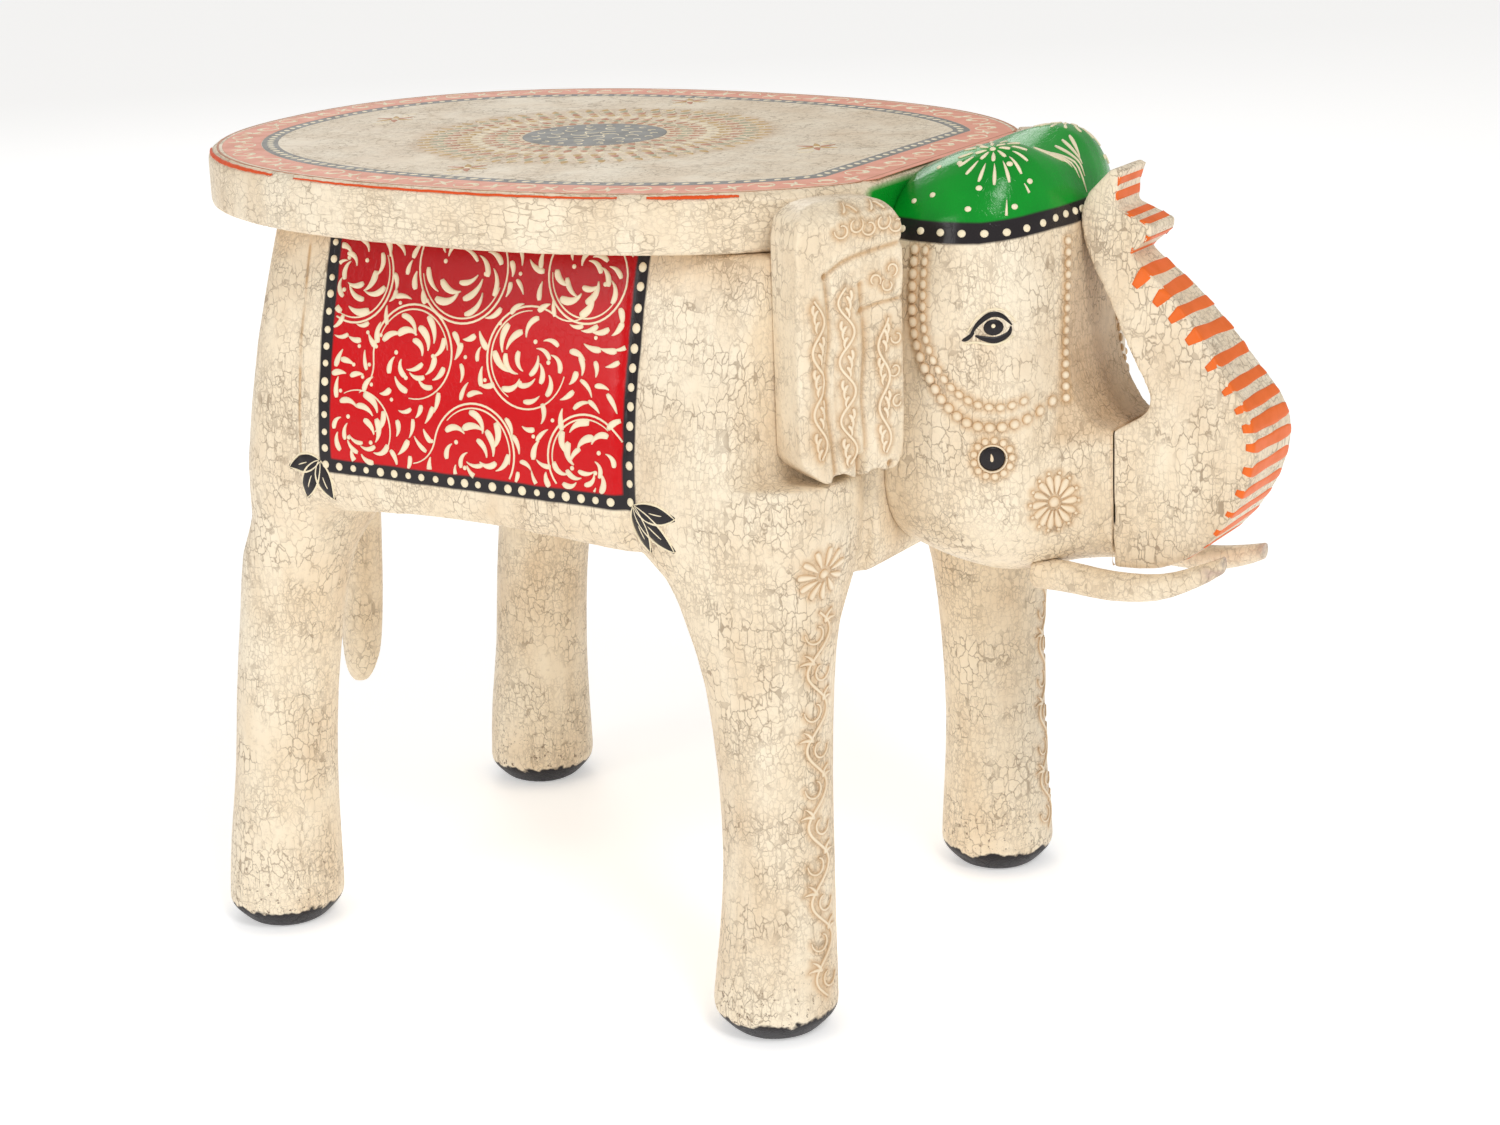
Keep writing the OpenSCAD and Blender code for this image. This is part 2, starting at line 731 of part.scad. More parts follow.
// Each station is: x, y, height and diameter. The first two lie in the socket.
function tusk_stations(run, droop) = [
    [tusk_root_x - tusk_socket + dowel_gap, tusk_y, tusk_z, tusk_diameter],
    [tusk_root_x, tusk_y, tusk_z, tusk_diameter],
    [tusk_root_x + 0.3 * run, tusk_y + 0.5, tusk_z - 1, 0.95 * tusk_diameter],
    [tusk_root_x + 0.6 * run, tusk_y + 1.5, tusk_z + 1 - 0.35 * droop, 0.85 * tusk_diameter],
    [tusk_root_x + 0.85 * run, tusk_y + 2, tusk_z + 7 - 0.75 * droop, 0.7 * tusk_diameter],
    [tusk_root_x + run, tusk_y + 1.5, tusk_z + 12 - droop, tusk_tip_diameter]
];

function tusk_ring(s) = [
    for (i = [0 : tusk_sides - 1])
        let (a = 360 * i / tusk_sides)
        [s[0], -s[1] + s[3] / 2 * cos(a), s[2] + s[3] / 2 * sin(a)]
];

module tusk_solid(run, droop) {
    loft([for (s = smooth_curve(tusk_stations(run, droop), 3)) tusk_ring(s)]);
}

module right_tusk() {
    color(cream) in_frame() tusk_solid(tusk_run, 0);
}

module left_tusk() {
    color(cream) in_frame() left_side() tusk_solid(tusk_run - tusk_short, tusk_skew);
}

// ---- Tail ----

tail_top = body_top - 6;
tail_root_x = -rump_x - 3;
tail_fall = tail_top - tail_tip_height;
tail_dowel_length = 22;

// Each station is: height, x, half depth, half width.
tail_stations = [
    [tail_tip_height, tail_root_x - 17, 0.16 * tail_width, 0.16 * tail_width],
    [tail_tip_height + 5, tail_root_x - 16.5, 0.32 * tail_width, 0.34 * tail_width],
    [tail_tip_height + 17, tail_root_x - 15, 0.45 * tail_width, 0.48 * tail_width],
    [tail_tip_height + 0.22 * tail_fall, tail_root_x - 13, 0.5 * tail_width, 0.52 * tail_width],
    [tail_tip_height + 0.45 * tail_fall, tail_root_x - 9, 0.44 * tail_width, 0.46 * tail_width],
    [tail_tip_height + 0.7 * tail_fall, tail_root_x - 4, 0.4 * tail_width, 0.44 * tail_width],
    [tail_top, tail_root_x, 0.4 * tail_width, 0.5 * tail_width]
];

function tail_ring(s) = [
    for (i = [0 : tail_sides - 1])
        let (a = 360 * i / tail_sides)
        [s[1] + s[2] * cos(a), s[3] * sin(a), s[0]]
];

module tail_dowel_solid(gap) {
    translate([-rump_x - 4, 0, tail_top - 22]) rotate([0, 90, 0])
        dowel(small_dowel_diameter, tail_dowel_length, gap);
}

module tail() {
    color(cream) in_frame() difference() {
        loft([for (s = smooth_curve(tail_stations, 3)) tail_ring(s)]);
        core_prism();
        tail_dowel_solid(dowel_gap);
    }
}

// ---- Dowel nodes ----

module seat_dowels() {
    color(bare_wood) in_frame() seat_dowel_row(0);
}

module leg_dowels() {
    color(bare_wood) in_frame() {
        side_dowels(front_leg_dowels, 0);
        side_dowels(rear_leg_dowels, 0);
        left_side() side_dowels(front_leg_dowels, 0);
        left_side() side_dowels(rear_leg_dowels, 0);
    }
}

module flank_dowels() {
    color(bare_wood) in_frame() {
        side_dowels(flank_dowel_places, 0);
        left_side() side_dowels(flank_dowel_places, 0);
    }
}

module neck_dowels() {
    color(bare_wood) in_frame() neck_dowel_row(0);
}

module head_dowels() {
    color(bare_wood) in_frame() head_dowel_row(0);
}

module trunk_dowels() {
    color(bare_wood) in_frame() trunk_dowel_row(0);
}

module ear_dowels() {
    color(bare_wood) in_frame() {
        ear_dowel_pair(0);
        left_side() ear_dowel_pair(0);
    }
}

module tail_dowel() {
    color(bare_wood) in_frame() tail_dowel_solid(0);
}

seat_top();
body_core();
right_flank();
left_flank();
front_right_leg();
front_left_leg();
rear_right_leg();
rear_left_leg();
neck_block();
head();
trunk();
right_ear();
left_ear();
right_tusk();
left_tusk();
tail();
seat_dowels();
leg_dowels();
flank_dowels();
neck_dowels();
head_dowels();
trunk_dowels();
ear_dowels();
tail_dowel();
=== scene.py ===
import math
import random

import bmesh
import bpy
from mathutils import Matrix, Vector
from mathutils.bvhtree import BVHTree
from mathutils.kdtree import KDTree


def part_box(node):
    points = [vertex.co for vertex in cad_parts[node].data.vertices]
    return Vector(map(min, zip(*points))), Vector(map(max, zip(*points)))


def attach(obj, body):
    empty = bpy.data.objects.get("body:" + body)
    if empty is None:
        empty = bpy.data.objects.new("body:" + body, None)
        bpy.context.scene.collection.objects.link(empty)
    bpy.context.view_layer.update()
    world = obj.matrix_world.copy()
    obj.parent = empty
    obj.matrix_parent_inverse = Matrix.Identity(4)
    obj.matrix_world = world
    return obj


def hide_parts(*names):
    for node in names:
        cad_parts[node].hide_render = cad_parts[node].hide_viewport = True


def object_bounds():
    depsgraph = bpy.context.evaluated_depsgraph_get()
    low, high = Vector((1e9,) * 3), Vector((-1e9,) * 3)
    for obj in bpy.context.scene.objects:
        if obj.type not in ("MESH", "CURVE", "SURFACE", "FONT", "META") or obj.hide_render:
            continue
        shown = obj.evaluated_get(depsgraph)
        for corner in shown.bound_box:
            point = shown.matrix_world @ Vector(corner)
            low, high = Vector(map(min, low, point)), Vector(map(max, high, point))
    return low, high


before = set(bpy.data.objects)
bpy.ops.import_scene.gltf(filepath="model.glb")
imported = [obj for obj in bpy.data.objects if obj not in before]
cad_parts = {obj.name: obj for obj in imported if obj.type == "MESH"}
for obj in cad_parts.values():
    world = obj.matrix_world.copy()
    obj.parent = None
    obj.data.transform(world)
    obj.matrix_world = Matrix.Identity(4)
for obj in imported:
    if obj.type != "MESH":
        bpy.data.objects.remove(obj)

# The carved and painted surface of the elephant stool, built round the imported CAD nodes.
# Places are written in millimetres from the middle of the seat: s ahead of it, y to the
# elephant's left, z above the floor.

cad_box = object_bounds()
MM = 0.001
SEAT_REAR = 153
SEAT_CENTRE_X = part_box("seat_top")[0].x + SEAT_REAR * MM
SEAT_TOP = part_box("seat_top")[1].z / MM
SEAT_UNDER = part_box("seat_top")[0].z / MM
SEAT_FRONT = (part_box("seat_top")[1].x - SEAT_CENTRE_X) / MM
REAR_JOINT = (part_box("right_flank")[0].x - SEAT_CENTRE_X) / MM
FRONT_JOINT = (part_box("right_flank")[1].x - SEAT_CENTRE_X) / MM
NECK_JOINT = (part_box("neck_block")[0].x - SEAT_CENTRE_X) / MM
HALF_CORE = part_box("body_core")[1].y / MM
MUZZLE = (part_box("head")[1].x - SEAT_CENTRE_X) / MM
SIDES = {"right": -1, "left": 1}


def at(s, y, z):
    """A place in the row frame, in metres, from millimetres round the seat's middle."""
    return Vector((SEAT_CENTRE_X + s * MM, y * MM, z * MM))


def ease(t):
    t = min(max(t, 0.0), 1.0)
    return t * t * (3 - 2 * t)


# ---- Camera, light and floor ----


def make_camera():
    """The photograph's viewpoint: its azimuth, height, tilt and distance, aimed at the stool."""
    azimuth, elevation, roll = math.radians(31.55), math.radians(16.56), math.radians(-1.97)
    distance = 1.15503
    target = Vector((0.00002, 0.00092, 0.14048))
    back = Vector((
        math.sin(azimuth) * math.cos(elevation),
        -math.cos(azimuth) * math.cos(elevation),
        math.sin(elevation),
    ))
    right = Vector((math.cos(azimuth), math.sin(azimuth), 0))
    up = back.cross(right)
    turn = Matrix((
        math.cos(roll) * right + math.sin(roll) * up,
        math.cos(roll) * up - math.sin(roll) * right,
        back,
    )).transposed().to_4x4()
    data = bpy.data.cameras.new("camera")
    data.lens = 73.18
    data.sensor_width = 36
    data.clip_start = 0.05
    camera = bpy.data.objects.new("camera", data)
    camera.matrix_world = Matrix.Translation(target + distance * back) @ turn
    bpy.context.scene.collection.objects.link(camera)
    bpy.context.scene.camera = camera


def make_lamp(name, place, aim, size, power):
    data = bpy.data.lights.new(name, "AREA")
    data.shape = "DISK"
    data.size = size
    data.energy = power
    lamp = bpy.data.objects.new(name, data)
    lamp.location = place
    lamp.rotation_euler = (Vector(aim) - Vector(place)).to_track_quat("-Z", "Y").to_euler()
    bpy.context.scene.collection.objects.link(lamp)


def make_studio():
    """Soft even light. The world is seen pure white behind the stool and lights it less."""
    scene = bpy.context.scene
    scene.view_settings.view_transform = "Standard"
    world = bpy.data.worlds.new("studio")
    world.use_nodes = True
    nodes, links = world.node_tree.nodes, world.node_tree.links
    background = nodes["Background"]
    background.inputs["Color"].default_value = (1.0, 0.985, 0.96, 1)
    path = nodes.new("ShaderNodeLightPath")
    strength = nodes.new("ShaderNodeMapRange")
    strength.inputs["To Min"].default_value = 0.5
    strength.inputs["To Max"].default_value = 1.05
    links.new(path.outputs["Is Camera Ray"], strength.inputs["Value"])
    links.new(strength.outputs["Result"], background.inputs["Strength"])
    scene.world = world
    make_lamp("key_light", (1.2, -0.9, 1.5), (0, 0, 0.18), 0.6, 13)
    make_lamp("front_light", (-0.7, -1.8, 0.8), (0, 0, 0.15), 1.0, 7)
    make_lamp("rim_light", (-1.2, 1.3, 1.3), (0, 0, 0.2), 1.0, 6)


def make_floor():
    size = 20.0
    mesh = bpy.data.meshes.new("floor")
    corners = [(-size, -size, 0), (size, -size, 0), (size, size, 0), (-size, size, 0)]
    mesh.from_pydata(corners, [], [(0, 1, 2, 3)])
    floor = bpy.data.objects.new("floor", mesh)
    bpy.context.scene.collection.objects.link(floor)
    material = bpy.data.materials.new("floor")
    material.use_nodes = True
    shader = material.node_tree.nodes["Principled BSDF"]
    shader.inputs["Base Color"].default_value = (0.93, 0.93, 0.93, 1)
    shader.inputs["Roughness"].default_value = 0.9
    shader.inputs["Specular IOR Level"].default_value = 0.1
    shader.inputs["Emission Color"].default_value = (1, 1, 1, 1)
    shader.inputs["Emission Strength"].default_value = 0.42
    mesh.materials.append(material)


# ---- Materials ----


def colour(red, green, blue):
    """A scene-linear colour from 0-255 display values."""
    def linear(value):
        c = value / 255
        return c / 12.92 if c <= 0.04045 else ((c + 0.055) / 1.055) ** 2.4
    return (linear(red), linear(green), linear(blue), 1.0)


MEDALLION = (-4.5, 0.0)

IVORY = colour(242, 225, 197)
IVORY_PALE = colour(247, 235, 212)
IVORY_DULL = colour(224, 200, 166)
CREAM = colour(244, 230, 198)
OCHRE = colour(192, 146, 88)
CRACK = colour(126, 102, 78)
RED = colour(204, 4, 14)
# Red of the cloth in painted shade
RED_IN_SHADE = colour(150, 4, 12)
BLACK = colour(38, 34, 36)
GREEN = colour(4, 150, 40)
GREEN_DEEP = colour(4, 112, 34)
ORANGE = colour(240, 112, 40)
SALMON = colour(240, 164, 138)
SLATE = colour(138, 137, 132)
RUST = colour(196, 132, 98)
PALE_OCHRE = colour(204, 166, 104)
LEAF_GREEN = colour(176, 172, 138)
EDGE_ORANGE = colour(226, 84, 28)
PRIMER_PALE = colour(188, 160, 148)
PRIMER_DARK = colour(122, 104, 98)
CHIPS = colour(92, 62, 40)
BARE_WOOD = colour(190, 150, 104)


class Paint:
    """Builds one node-based material, with short names for the nodes it needs."""

    def __init__(self, name):
        self.material = bpy.data.materials.new(name)
        self.material.use_nodes = True
        self.tree = self.material.node_tree
        self.shader = self.tree.nodes["Principled BSDF"]
        coordinates = self.node("ShaderNodeTexCoord")
        self.place = coordinates.outputs["Object"]
        split = self.node("ShaderNodeSeparateXYZ")
        self.join(self.place, split.inputs[0])
        self.x, self.y, self.z = split.outputs

    def node(self, kind, **settings):
        made = self.tree.nodes.new(kind)
        for key, value in settings.items():
            setattr(made, key, value)
        return made

    def join(self, source, target):
        self.tree.links.new(source, target)

    def feed(self, value, target):
        if isinstance(value, bpy.types.NodeSocket):
            self.join(value, target)
        else:
            target.default_value = value

    def math(self, operation, a, b=0.0):
        made = self.node("ShaderNodeMath", operation=operation)
        self.feed(a, made.inputs[0])
        self.feed(b, made.inputs[1])
        return made.outputs[0]

    def noise(self, per_metre, detail=3.0, roughness=0.55, stretch=(1, 1, 1), seed=0.0):
        """Noise from 0 to 1 round 0.5, with so many features per metre."""
        place = self.scaled(stretch, seed)
        made = self.node("ShaderNodeTexNoise")
        self.join(place, made.inputs["Vector"])
        made.inputs["Scale"].default_value = per_metre
        made.inputs["Detail"].default_value = detail
        made.inputs["Roughness"].default_value = roughness
        return made.outputs["Fac"]

    def scaled(self, stretch, seed):
        """The object's place, stretched and moved along by the seed."""
        made = self.node("ShaderNodeMapping")
        self.join(self.place, made.inputs["Vector"])
        made.inputs["Scale"].default_value = stretch
        made.inputs["Location"].default_value = (seed, seed * 0.7, seed * 1.3)
        return made.outputs["Vector"]

    def hollow(self):
        """How deep a point lies in the hollows round raised work, from 0 to 1."""
        made = self.node("ShaderNodeAttribute", attribute_name="hollow")
        return made.outputs["Fac"]

    def ramp(self, value, low, high):
        """0 below low, 1 above high, with a straight run between them."""
        made = self.node("ShaderNodeMapRange", clamp=True)
        self.feed(value, made.inputs["Value"])
        made.inputs["From Min"].default_value = low
        made.inputs["From Max"].default_value = high
        return made.outputs["Result"]

    def above(self, value, edge, blur=0.0004):
        return self.ramp(value, edge - blur, edge + blur)

    def below(self, value, edge, blur=0.0004):
        return self.invert(self.above(value, edge, blur))

    def invert(self, value):
        return self.math("SUBTRACT", 1.0, value)

    def both(self, *values):
        result = values[0]
        for value in values[1:]:
            result = self.math("MULTIPLY", result, value)
        return result

    def mix(self, share, a, b):
        made = self.node("ShaderNodeMix", data_type="RGBA")
        self.feed(share, made.inputs["Factor"])
        self.feed(a, made.inputs[6])
        self.feed(b, made.inputs[7])
        return made.outputs[2]

    def between(self, share, a, b):
        """The number a where share is 0, and b where it is 1."""
        made = self.node("ShaderNodeMix", data_type="FLOAT")
        self.feed(share, made.inputs[0])
        self.feed(a, made.inputs[2])
        self.feed(b, made.inputs[3])
        return made.outputs[0]

    def wobble(self, value, amount, per_metre=60, seed=3.0):
        """A coordinate moved a little by noise, as the edge of a hand-painted area is."""
        shift = self.math("SUBTRACT", self.noise(per_metre, 2.0, seed=seed), 0.5)
        return self.math("ADD", value, self.math("MULTIPLY", shift, 2 * amount))

    def cracks(self, per_metre, stretch, seed, width):
        """A net of blocky crazing, as 1 in the crack and 0 off it."""
        warp = self.node("ShaderNodeTexNoise")
        self.join(self.scaled(stretch, seed), warp.inputs["Vector"])
        warp.inputs["Scale"].default_value = per_metre * 1.6
        warp.inputs["Detail"].default_value = 3.0
        bend = self.node("ShaderNodeVectorMath", operation="SCALE")
        self.join(warp.outputs["Color"], bend.inputs[0])
        bend.inputs["Scale"].default_value = 0.5 / per_metre
        moved = self.node("ShaderNodeVectorMath", operation="ADD")
        self.join(self.scaled(stretch, seed), moved.inputs[0])
        self.join(bend.outputs[0], moved.inputs[1])
        nearest = []
        for feature in ("F1", "F2"):
            cells = self.node("ShaderNodeTexVoronoi", feature=feature, distance="CHEBYCHEV")
            self.join(moved.outputs[0], cells.inputs["Vector"])
            cells.inputs["Scale"].default_value = per_metre
            cells.inputs["Randomness"].default_value = 0.9
            nearest.append(cells.outputs["Distance"])
        return self.invert(self.ramp(self.math("SUBTRACT", nearest[1], nearest[0]), 0.0, width))

    def finish(self, base, roughness, height, coat=0.1, bump=0.0004):
        """Feeds the shader and gives back the finished material."""
        self.feed(base, self.shader.inputs["Base Color"])
        self.feed(roughness, self.shader.inputs["Roughness"])
        self.shader.inputs["Coat Weight"].default_value = coat
        self.shader.inputs["Coat Roughness"].default_value = 0.22
        self.shader.inputs["Specular IOR Level"].default_value = 0.2
        if height is not None:
            made = self.node("ShaderNodeBump")
            made.inputs["Strength"].default_value = 0.55
            made.inputs["Distance"].default_value = bump
            self.join(height, made.inputs["Height"])
            self.join(made.outputs["Normal"], self.shader.inputs["Normal"])
        return self.material


# Cells of the crazing per metre, and how they are drawn out on upright faces
COARSE_CELLS, FINE_CELLS = 285, 500
UPRIGHT = (1, 1, 0.62)


def crazed(paint, base, stretch=UPRIGHT, strength=0.66, patina=1.0):
    """Old lacquer over paint: crazing in two sizes, dirt in the cracks and an ochre patina."""
    coarse = paint.cracks(COARSE_CELLS, stretch, 1.0, 0.085)
    fine = paint.cracks(FINE_CELLS, stretch, 5.0, 0.13)
    broken = paint.ramp(paint.noise(60, 3.0, seed=2.0), 0.36, 0.58)
    sparse = paint.ramp(paint.noise(45, 3.0, seed=8.0), 0.36, 0.6)
    net = paint.math("MAXIMUM", paint.both(coarse, broken), paint.both(fine, sparse, 0.6))
    patches = paint.ramp(paint.noise(22, 4.0, 0.6, seed=4.0), 0.48, 0.78)
    grime = paint.ramp(paint.noise(420, 3.0, 0.65, seed=6.0), 0.54, 0.76)
    tinted = paint.mix(paint.both(patches, 0.3 * patina), base, OCHRE)
    dirty = paint.mix(paint.both(grime, 0.26 * patina), tinted, CRACK)
    glazed = paint.mix(paint.both(paint.hollow(), 0.6), dirty, OCHRE)
    cracked = paint.mix(paint.both(net, strength), glazed, CRACK)
    pores = paint.noise(900, 2.0, seed=9.0)
    relief = paint.math("SUBTRACT", paint.math("MULTIPLY", pores, 0.15), paint.both(net, 0.8))
    rough = paint.math("ADD", 0.3, paint.math("MULTIPLY", paint.noise(30, 3.0, seed=12.0), 0.22))
    rough = paint.math("ADD", rough, paint.both(net, 0.25))
    return cracked, rough, relief


def ivory(paint):
    """Hand-brushed ivory, paler and duller in drifts."""
    drift = paint.ramp(paint.noise(9, 3.0, seed=1.0), 0.35, 0.68)
    brush = paint.ramp(paint.noise(60, 3.0, stretch=(1, 1, 0.3), seed=7.0), 0.4, 0.7)
    base = paint.mix(drift, IVORY, IVORY_PALE)
    return paint.mix(paint.both(brush, 0.55), base, IVORY_DULL)


CLOTH_REAR, CLOTH_FRONT, CLOTH_LOW = -57, 79, 191
BORDER = 5.4
BAND_LOW, BAND_HIGH = 279.5, 286.5
FOOT_PAINT = 8.5


def ahead(s):
    return SEAT_CENTRE_X + s * MM


def body_material():
    paint = Paint("body_paint")
    x = paint.wobble(paint.x, 0.0006)
    z = paint.wobble(paint.z, 0.0006, seed=11.0)
    side = paint.math("ABSOLUTE", paint.y)
    outside = paint.above(side, 0.085)
    cloth = paint.both(
        paint.above(x, ahead(CLOTH_REAR)), paint.below(x, ahead(CLOTH_FRONT)),
        paint.above(z, CLOTH_LOW * MM), outside,
    )
    inside = paint.both(
        paint.above(x, ahead(CLOTH_REAR + BORDER)), paint.below(x, ahead(CLOTH_FRONT - BORDER)),
        paint.above(z, (CLOTH_LOW + BORDER) * MM),
    )
    # Painted shade: the top of the red cloth, where the seat's overhang shades it, is mixed towards a deeper
    # red.
    shaded = paint.ramp(paint.z, 0.235, 0.275)
    red = paint.mix(paint.both(shaded, 0.6), RED, RED_IN_SHADE)
    cloth_colour = paint.mix(inside, BLACK, red)
    edge = paint.wobble(paint.z, 0.004, 180, seed=15.0)
    foot = paint.below(edge, FOOT_PAINT * MM, 0.0005)
    specks = paint.both(
        paint.ramp(paint.noise(520, 3.0, 0.7, seed=21.0), 0.60, 0.66),
        paint.invert(paint.ramp(paint.z, 0.012, 0.045)),
    )
    seam = paint.both(
        paint.invert(paint.ramp(paint.math("ABSOLUTE", paint.math(
            "SUBTRACT", x, ahead(REAR_JOINT))), 0.0002, 0.0012)),
        outside, paint.above(paint.z, 0.185), paint.ramp(paint.noise(90, seed=17.0), 0.35, 0.6),
    )
    # Painted shade: an ochre band on the body just below the seat, where the seat's overhang casts shade.
    seat_shade = paint.both(paint.ramp(paint.wobble(paint.z, 0.008, 90), 0.262, 0.282), 0.5)
    ochre_toned = paint.mix(seat_shade, ivory(paint), OCHRE)
    ochre_toned = paint.mix(paint.both(seam, 0.7), ochre_toned, OCHRE)
    worn, rough, relief = crazed(paint, ochre_toned)
    worn = paint.mix(paint.both(specks, 0.8), worn, CHIPS)
    painted = paint.mix(cloth, worn, cloth_colour)
    nape = paint.both(paint.above(paint.x, ahead(SEAT_FRONT + 0.2)), paint.above(z, BAND_HIGH * MM))
    painted = paint.mix(nape, painted, GREEN)
    painted = paint.mix(foot, painted, BLACK)
    gloss = paint.between(cloth, rough, 0.2)
    quiet = paint.both(relief, paint.invert(paint.both(cloth, 0.75)))
    return paint.finish(painted, gloss, quiet)




def head_material():
    paint = Paint("head_paint")
    rise = paint.both(paint.ramp(paint.x, ahead(180), ahead(203)), 0.003)
    z = paint.math("SUBTRACT", paint.wobble(paint.z, 0.0005, seed=11.0), rise)
    band = paint.above(z, BAND_LOW * MM)
    cap = paint.above(z, BAND_HIGH * MM)
    mottled = paint.ramp(paint.noise(30, 3.0, seed=13.0), 0.35, 0.7)
    green = paint.mix(paint.both(mottled, 0.6), GREEN, GREEN_DEEP)
    # Painted shade: ochre on the forehead's front face in the narrow gap between forehead and trunk, where
    # shade falls.
    gap_shade = paint.both(paint.above(paint.x, ahead(198.4), 0.0012), paint.above(paint.z, 0.209, 0.003))
    ochre_toned = paint.mix(paint.both(gap_shade, 0.42), ivory(paint), OCHRE)
    seam = paint.both(
        paint.above(paint.x, ahead(MUZZLE - 0.7), 0.0004),
        paint.ramp(paint.noise(80, seed=19.0), 0.3, 0.55),
    )
    ochre_toned = paint.mix(paint.both(seam, 0.6), ochre_toned, OCHRE)
    worn, rough, relief = crazed(paint, ochre_toned)
    painted = paint.mix(band, worn, BLACK)
    painted = paint.mix(cap, painted, green)
    gloss = paint.between(band, rough, 0.16)
    quiet = paint.both(relief, paint.invert(paint.both(band, 0.8)))
    return paint.finish(painted, gloss, quiet, coat=0.2)


def ivory_material(name):
    """Plain crazed ivory, as on the trunk and tail."""
    paint = Paint(name)
    return paint.finish(*crazed(paint, ivory(paint)))


def seat_material():
    """Ivory with a tan wash under the medallion, and quieter crazing on top."""
    paint = Paint("seat_paint")
    forward = paint.math("SUBTRACT", paint.x, ahead(MEDALLION[0]))
    squares = paint.math("ADD", paint.both(forward, forward), paint.both(paint.y, paint.y))
    reach = paint.math("SQRT", squares)
    wash = paint.both(
        paint.below(paint.wobble(reach, 0.002, 120), 0.069, 0.002),
        paint.above(paint.z, (SEAT_TOP - 2) * MM),
        paint.ramp(paint.noise(140, 3.0, seed=31.0), 0.25, 0.6))
    base = paint.mix(paint.both(wash, 0.42), ivory(paint), OCHRE)
    worn, rough, relief = crazed(paint, base, (0.62, 1, 1), strength=0.55, patina=0.8)
    nape = paint.both(
        paint.above(paint.x, ahead(SEAT_FRONT - 0.5)), paint.below(paint.z, (SEAT_TOP - 1.5) * MM),
        paint.above(paint.z, BAND_HIGH * MM))
    return paint.finish(paint.mix(nape, worn, GREEN), rough, relief)


def tusk_material():
    """Ivory worn through to grey-pink primer at the tips."""
    paint = Paint("tusk_paint")
    worn, rough, relief = crazed(paint, ivory(paint), strength=0.5, patina=1.2)
    tip = paint.both(
        paint.ramp(paint.wobble(paint.x, 0.006, 120), ahead(251), ahead(258)),
        paint.ramp(paint.noise(160, 3.0, seed=27.0), 0.36, 0.56))
    mottled = paint.ramp(paint.noise(260, 3.0, seed=29.0), 0.4, 0.6)
    bare = paint.mix(mottled, PRIMER_PALE, PRIMER_DARK)
    return paint.finish(paint.mix(paint.both(tip, 0.9), worn, bare), rough, relief)


def carved_material(name):
    """Ivory with ochre glaze left in the hollows of the carving."""
    paint = Paint(name)
    shape = paint.node("ShaderNodeNewGeometry")
    hollow = paint.invert(paint.ramp(shape.outputs["Pointiness"], 0.44, 0.505))
    ochre_toned = paint.mix(paint.both(hollow, 0.75), ivory(paint), OCHRE)
    worn, rough, relief = crazed(paint, ochre_toned, strength=0.45, patina=1.2)
    return paint.finish(worn, rough, relief)


def raised_material(name):
    """Raised ivory paste with ochre glaze round its foot."""
    paint = Paint(name)
    ochre_toned = paint.mix(paint.both(paint.hollow(), 0.85), ivory(paint), OCHRE)
    pores = paint.noise(700, 3.0, seed=9.0)
    return paint.finish(ochre_toned, 0.36, paint.both(pores, 0.4), bump=0.0003)


def paste_material(name, tint, gloss, vary):
    """Raised hand-laid paste or a plain brushed colour, slightly uneven."""
    paint = Paint(name)
    uneven = paint.ramp(paint.noise(120, 3.0, seed=23.0), 0.35, 0.7)
    dull = tuple(0.72 * c for c in tint[:3]) + (1.0,)
    base = paint.mix(paint.both(uneven, vary), tint, dull)
    pores = paint.noise(1100, 2.0, seed=9.0)
    rough = paint.math("ADD", gloss, paint.math("MULTIPLY", uneven, 0.15))
    return paint.finish(base, rough, paint.both(pores, 0.3), bump=0.0002)


def wood_material():
    paint = Paint("bare_wood")
    grain = paint.noise(40, 4.0, 0.6, stretch=(1, 12, 12), seed=2.0)
    base = paint.mix(paint.ramp(grain, 0.35, 0.7), BARE_WOOD, OCHRE)
    return paint.finish(base, 0.62, grain, coat=0.0, bump=0.0002)


# ---- Meshes from the CAD nodes ----


def link(name, mesh):
    piece = bpy.data.objects.new(name, mesh)
    bpy.context.scene.collection.objects.link(piece)
    return piece


def cad_copy(bm, node):
    bm.from_mesh(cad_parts[node].data)


def settled(bm, voxel, rounds):
    """One even skin round everything in a bmesh, smoothed for so many rounds."""
    mesh = bpy.data.meshes.new("whole")
    bm.to_mesh(mesh)
    bm.free()
    work = link("work", mesh)
    skin = work.modifiers.new("skin", "REMESH")
    skin.mode = "VOXEL"
    skin.voxel_size = voxel * MM
    soft = work.modifiers.new("soft", "SMOOTH")
    soft.factor = 0.5
    soft.iterations = rounds
    graph = bpy.context.evaluated_depsgraph_get()
    result = bpy.data.meshes.new_from_object(work.evaluated_get(graph))
    bpy.data.objects.remove(work)
    return result


def close_cut(bm, edges, normal):
    """Fills a flat cut with faces that have a sharp rim."""
    filled = bmesh.ops.triangle_fill(bm, edges=edges, normal=normal)
    for face in filled["geom"]:
        if isinstance(face, bmesh.types.BMFace):
            for edge in face.edges:
                edge.smooth = False


def halve(bm, place, normal):
    """Keeps what lies behind a plane and closes the cut."""
    geometry = bm.verts[:] + bm.edges[:] + bm.faces[:]
    cut = bmesh.ops.bisect_plane(
        bm, geom=geometry, plane_co=place, plane_no=normal, clear_outer=True, dist=1e-7)
    edges = [e for e in cut["geom_cut"] if isinstance(e, bmesh.types.BMEdge) and e.is_boundary]
    if edges:
        close_cut(bm, edges, normal)


